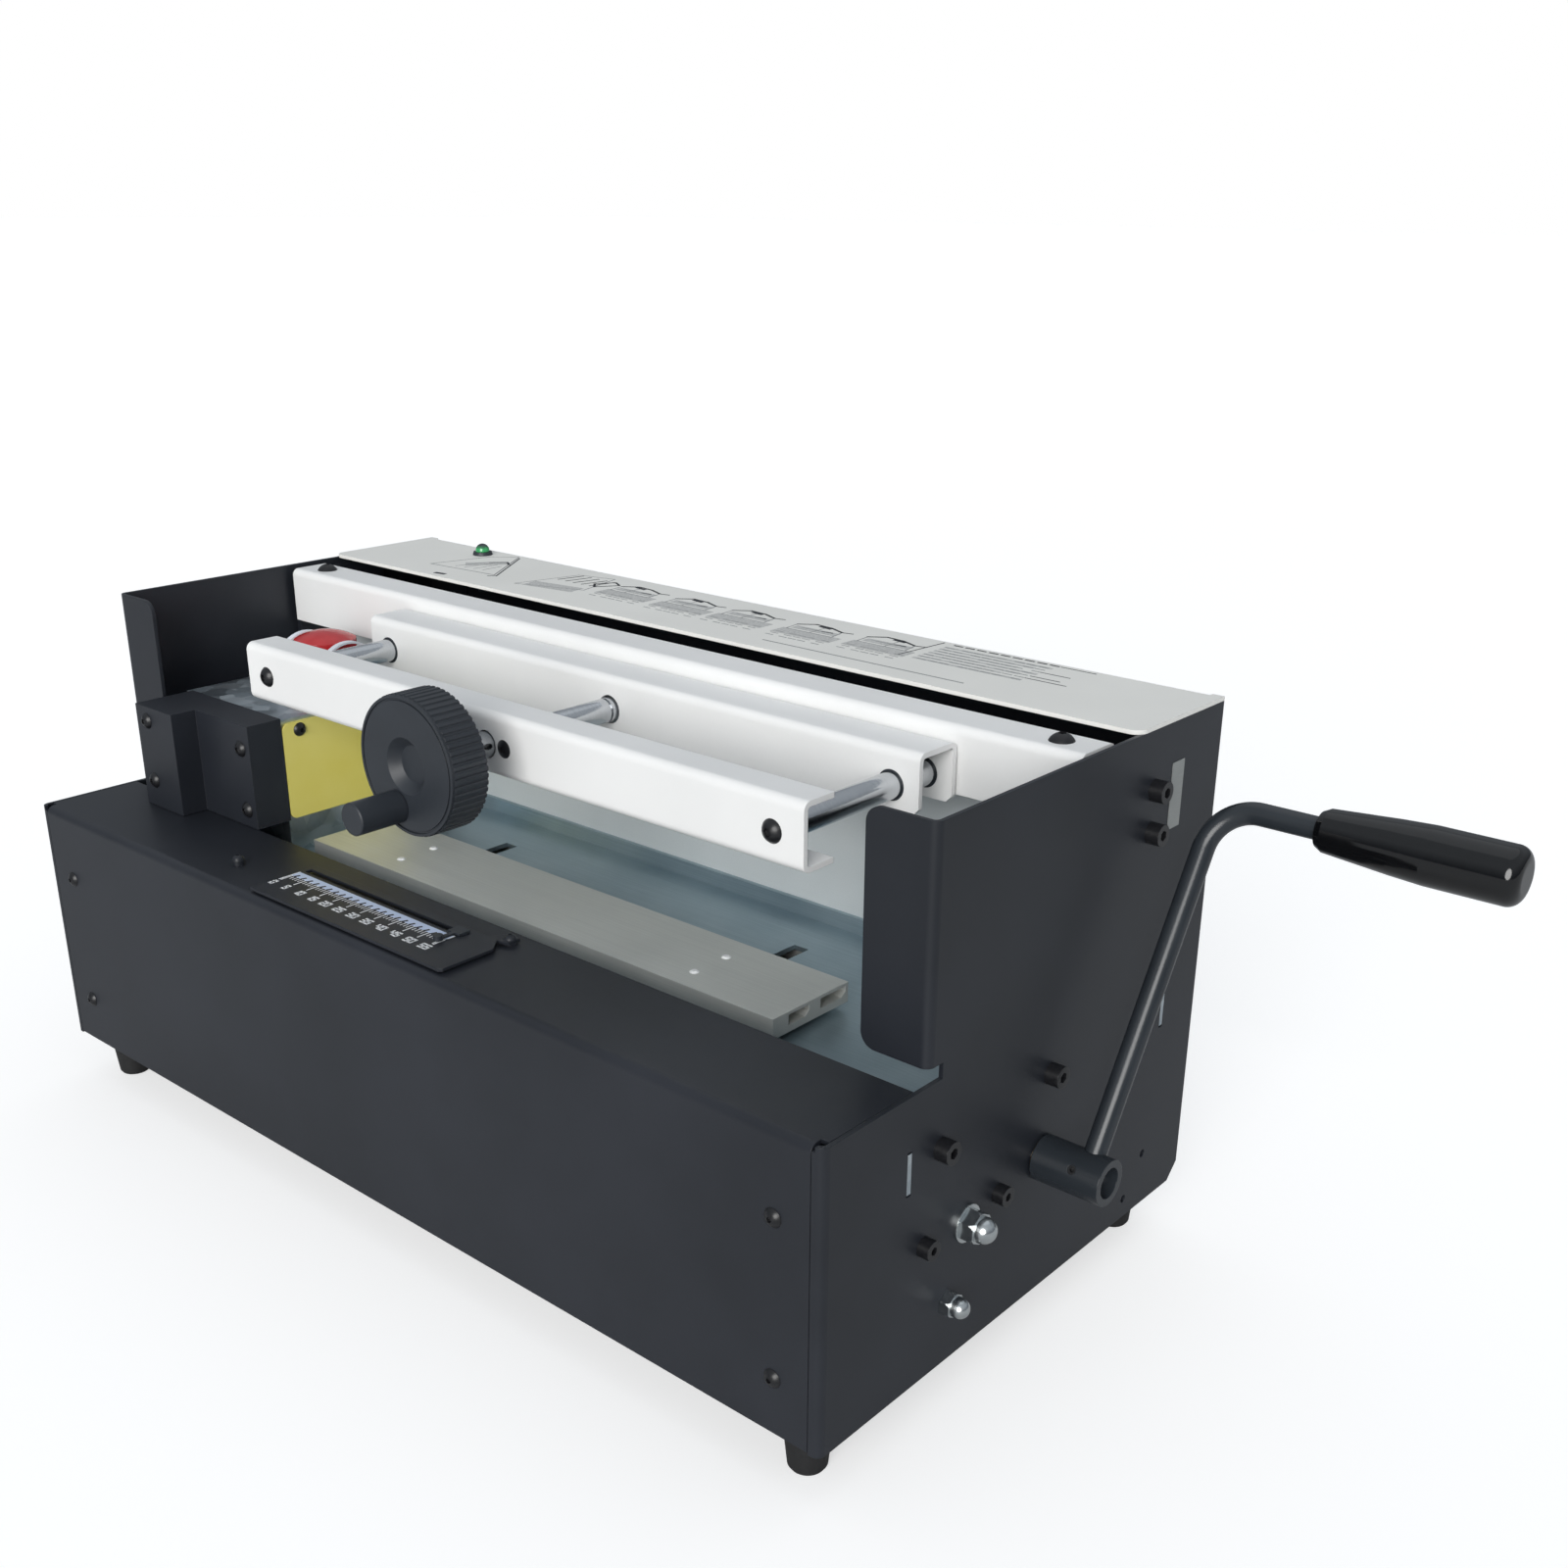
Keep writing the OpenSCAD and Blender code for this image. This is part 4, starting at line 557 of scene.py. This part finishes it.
finish_with(yellow_enamel, "yellow_plate")

# ---- Red button and rocker ----
# The button's mushroom head and the key of the mains switch are injection-moulded in red
# polycarbonate: glossy, with a little depth to the colour.
red_polycarbonate, nodes, shader, at = fresh("red_polycarbonate")
haze = add(nodes, "ShaderNodeTexNoise", {"Vector": at, "Scale": every(6.67), "Detail": 2.0})
tone = add(nodes, "ShaderNodeMixRGB",
           {0: haze.outputs[0], 1: linear("a8141a"), 2: linear("c6282c")})
nodes.links.new(tone.outputs[0], shader.inputs["Base Color"])
gloss = add(nodes, "ShaderNodeMapRange", {0: haze.outputs[0], 3: 0.18, 4: 0.30})
nodes.links.new(gloss.outputs[0], shader.inputs["Roughness"])
shader.inputs["IOR"].default_value = 1.58
rounded_edges(nodes, shader, 0.6 * MM)
finish_with(red_polycarbonate, "stop_button", "rocker_key")

# ---- Side label ----
# A small blank foil label on the right panel: grey film with a brushed metal look and a satin
# top. The brushing is drawn at a third of a millimetre, coarser than it is, so that it shows.
grey_foil, nodes, shader, at = fresh("grey_foil_label")
brushed = add(nodes, "ShaderNodeMapping",
              {"Vector": at, "Scale": (every(10), every(10), every(0.333))})
drag = add(nodes, "ShaderNodeTexNoise", {"Vector": brushed.outputs[0], "Scale": 1.0, "Detail": 2.0})
tone = add(nodes, "ShaderNodeMixRGB",
           {0: drag.outputs[0], 1: linear("8f9291"), 2: linear("a5a8a6")})
nodes.links.new(tone.outputs[0], shader.inputs["Base Color"])
shader.inputs["Metallic"].default_value = 0.4
shader.inputs["Roughness"].default_value = 0.4
finish_with(grey_foil, "side_label")

# ---- Scale markings ----
# White numerals, a tick for every unit and a longer one at each numeral are screen-printed on
# the black scale plate. A pale blue film is stuck in front of the pointer's slot, with dark teeth
# of painted shade on its front part.
white_ink = matt_ink("white_screen_ink", "eef1f4")
plate_top = 166.5 * MM
segments_of = {
    "0": "abcdef", "1": "bc", "2": "abged", "3": "abgcd", "4": "fgbc",
    "5": "afgcd", "6": "afgedc", "7": "abc", "8": "abcdefg", "9": "abcdfg",
}
ends_of = {    # both ends of each stroke of a numeral, in stroke lengths
    "a": ((0, 2), (1, 2)), "b": ((1, 2), (1, 1)), "c": ((1, 1), (1, 0)), "d": ((0, 0), (1, 0)),
    "e": ((0, 0), (0, 1)), "f": ((0, 1), (0, 2)), "g": ((0, 1), (1, 1)),
}
first_mark = -81.2       # mm, x of the tick at 0
mark_pitch = 10.61       # mm from one numeral to the next
mark_count = 12
digit_foot = 13.6        # mm from the front cover to the foot of the numerals
digit_pitch = 3.3
stroke_wide, stroke_tall = 2.1, 1.9
marks = []
for count in range(mark_count):
    x = first_mark + count * mark_pitch
    text = str(count * 5)
    for place, digit in enumerate(text):
        left = x + (place - len(text) / 2) * digit_pitch + 0.5
        for segment in segments_of[digit]:
            strokes(marks, 0.95, *((left + u * stroke_wide, digit_foot + v * stroke_tall)
                                   for u, v in ends_of[segment]))
    strokes(marks, 0.55, (x, 19.7), (x, 26.5))
    if count < mark_count - 1:
        for part in range(1, 5):
            tick = x + part * mark_pitch / 5
            strokes(marks, 0.4, (tick, 23.2), (tick, 26.5))
for x in (-82.4, 36.6):
    strokes(marks, 0.7, (x, 19.5), (x, 31.4))
print_mesh("scale_print", marks, plate_top, white_ink, thick=0.08 * MM)

blue_film, nodes, shader, at = fresh("pale_blue_film")
haze = add(nodes, "ShaderNodeTexNoise", {"Vector": at, "Scale": every(11.1), "Detail": 2.0})
tone = add(nodes, "ShaderNodeMixRGB",
           {0: haze.outputs[0], 1: linear("b9c9e6"), 2: linear("cbd9f2")})
nodes.links.new(tone.outputs[0], shader.inputs["Base Color"])
shader.inputs["Roughness"].default_value = 0.35
film_top = plate_top + 0.12 * MM
film_low = Vector((-82.2 * MM, (26.4 - half_depth) * MM, plate_top))
film_high = Vector((36.4 * MM, (31.4 - half_depth) * MM, film_top))
form = bmesh.new()
bmesh.ops.create_cube(form, size=1.0, matrix=Matrix.Translation(
    (film_low + film_high) / 2) @ Matrix.Diagonal((*(film_high - film_low), 1)))
bmesh.ops.bevel(form, geom=form.edges[:], offset=0.04 * MM, segments=1, affect="EDGES",
                profile=0.5, material=-1)
piece("scale_film", form, blue_film, "frame")
# Dark teeth on the front part of the film: painted shade, drawn in the dark ink.
painted_tick_shade = []
for count in range(23):
    x = -79.2 + count * 5.3
    strokes(painted_tick_shade, 1.5, (x, 26.2), (x + 0.8, 28.2))
print_mesh("scale_film_painted_shade", painted_tick_shade, film_top, dark_ink, thick=0.05 * MM)

# ---- Button guard ----
# Two hoops of white nylon strip stand on the housing, one each side of the red button, so that
# a hand that slides past doesn't press it. Bent warm, and clipped into the housing top.
white_nylon, nodes, shader, at = fresh("bent_white_nylon")
wax = add(nodes, "ShaderNodeTexNoise", {"Vector": at, "Scale": every(6.25), "Detail": 2.0})
tone = add(nodes, "ShaderNodeMixRGB", {0: wax.outputs[0], 1: linear("dfe1ea"), 2: linear("eeeff6")})
nodes.links.new(tone.outputs[0], shader.inputs["Base Color"])
shader.inputs["Roughness"].default_value = 0.38
shader.inputs["Subsurface Weight"].default_value = 0.05
switch_low, switch_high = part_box("stop_switch")
housing_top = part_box("left_housing")[1].z
hoop_apart = 19.3 * MM    # from the middle of the button to the middle of a hoop
hoop_radius = 20 * MM
hoop_leg = 7 * MM
strip_wide = 3.4 * MM
strip_thick = 1.2 * MM
for name, side in (("button_guard_left", -1), ("button_guard_right", 1)):
    middle = Vector(((switch_low.x + switch_high.x) / 2 + side * hoop_apart,
                     (switch_low.y + switch_high.y) / 2, housing_top + hoop_leg))
    form = bmesh.new()
    bmesh.ops.create_grid(form, x_segments=1, y_segments=1, size=0.5, matrix=Matrix.Translation(
        middle - Vector((0, hoop_radius, hoop_leg)))
        @ Matrix.Diagonal((strip_wide, strip_thick, 1, 1)))
    grown = bmesh.ops.extrude_face_region(form, geom=form.faces[:])["geom"]
    bmesh.ops.translate(form, verts=[v for v in grown if isinstance(v, bmesh.types.BMVert)],
                        vec=(0, 0, hoop_leg))
    bent = bmesh.ops.spin(form, geom=[f for f in grown if isinstance(f, bmesh.types.BMFace)],
                          cent=middle, axis=(-1, 0, 0), angle=math.pi, steps=24, use_merge=False)
    grown = bmesh.ops.extrude_face_region(
        form, geom=[f for f in bent["geom_last"] if isinstance(f, bmesh.types.BMFace)])["geom"]
    bmesh.ops.translate(form, verts=[v for v in grown if isinstance(v, bmesh.types.BMVert)],
                        vec=(0, 0, -hoop_leg))
    # The bend and the second leg each leave the face that they grew from inside the strip
    inner = [f for f in form.faces if all(len(e.link_faces) > 2 for e in f.edges)]
    bmesh.ops.delete(form, geom=inner, context="FACES")
    piece(name, form, white_nylon, "frame")

# ---- Indicator lens ----
# The green dome of the mains lamp is moulded in tinted polycarbonate and snaps into a black
# bezel: a wet-looking skin over a colour that is a little flecked by the lamp behind it.
green_lens, nodes, shader, at = fresh("green_polycarbonate_lens")
flecks = add(nodes, "ShaderNodeTexNoise", {"Vector": at, "Scale": every(1.43), "Detail": 1.0})
tone = add(nodes, "ShaderNodeMixRGB",
           {0: flecks.outputs[0], 1: linear("1f8a45"), 2: linear("4fc07a")})
nodes.links.new(tone.outputs[0], shader.inputs["Base Color"])
shader.inputs["Roughness"].default_value = 0.08
shader.inputs["Coat Weight"].default_value = 0.5
shader.inputs["IOR"].default_value = 1.58
lens_radius = 4.25 * MM
lens_skirt = 0.45 * MM
form = bmesh.new()
bmesh.ops.create_uvsphere(form, u_segments=32, v_segments=16, radius=lens_radius)
bmesh.ops.bisect_plane(form, geom=form.verts[:] + form.edges[:] + form.faces[:],
                       plane_co=(0, 0, 0), plane_no=(0, 0, -1), clear_outer=True)
bmesh.ops.remove_doubles(form, verts=form.verts[:], dist=0.001 * MM)
skirt = bmesh.ops.extrude_edge_only(form, edges=[e for e in form.edges if e.is_boundary])["geom"]
bmesh.ops.translate(form, verts=[v for v in skirt if isinstance(v, bmesh.types.BMVert)],
                    vec=(0, 0, -lens_skirt))
bmesh.ops.contextual_create(form, geom=[e for e in form.edges if e.is_boundary])
lamp_low, lamp_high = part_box("indicator_lamp")
bmesh.ops.translate(form, verts=form.verts[:], vec=(
    (lamp_low.x + lamp_high.x) / 2, (lamp_low.y + lamp_high.y) / 2,
    lamp_high.z - lens_radius - 0.01 * MM))
piece("lamp_lens", form, green_lens, "frame", smooth=True)
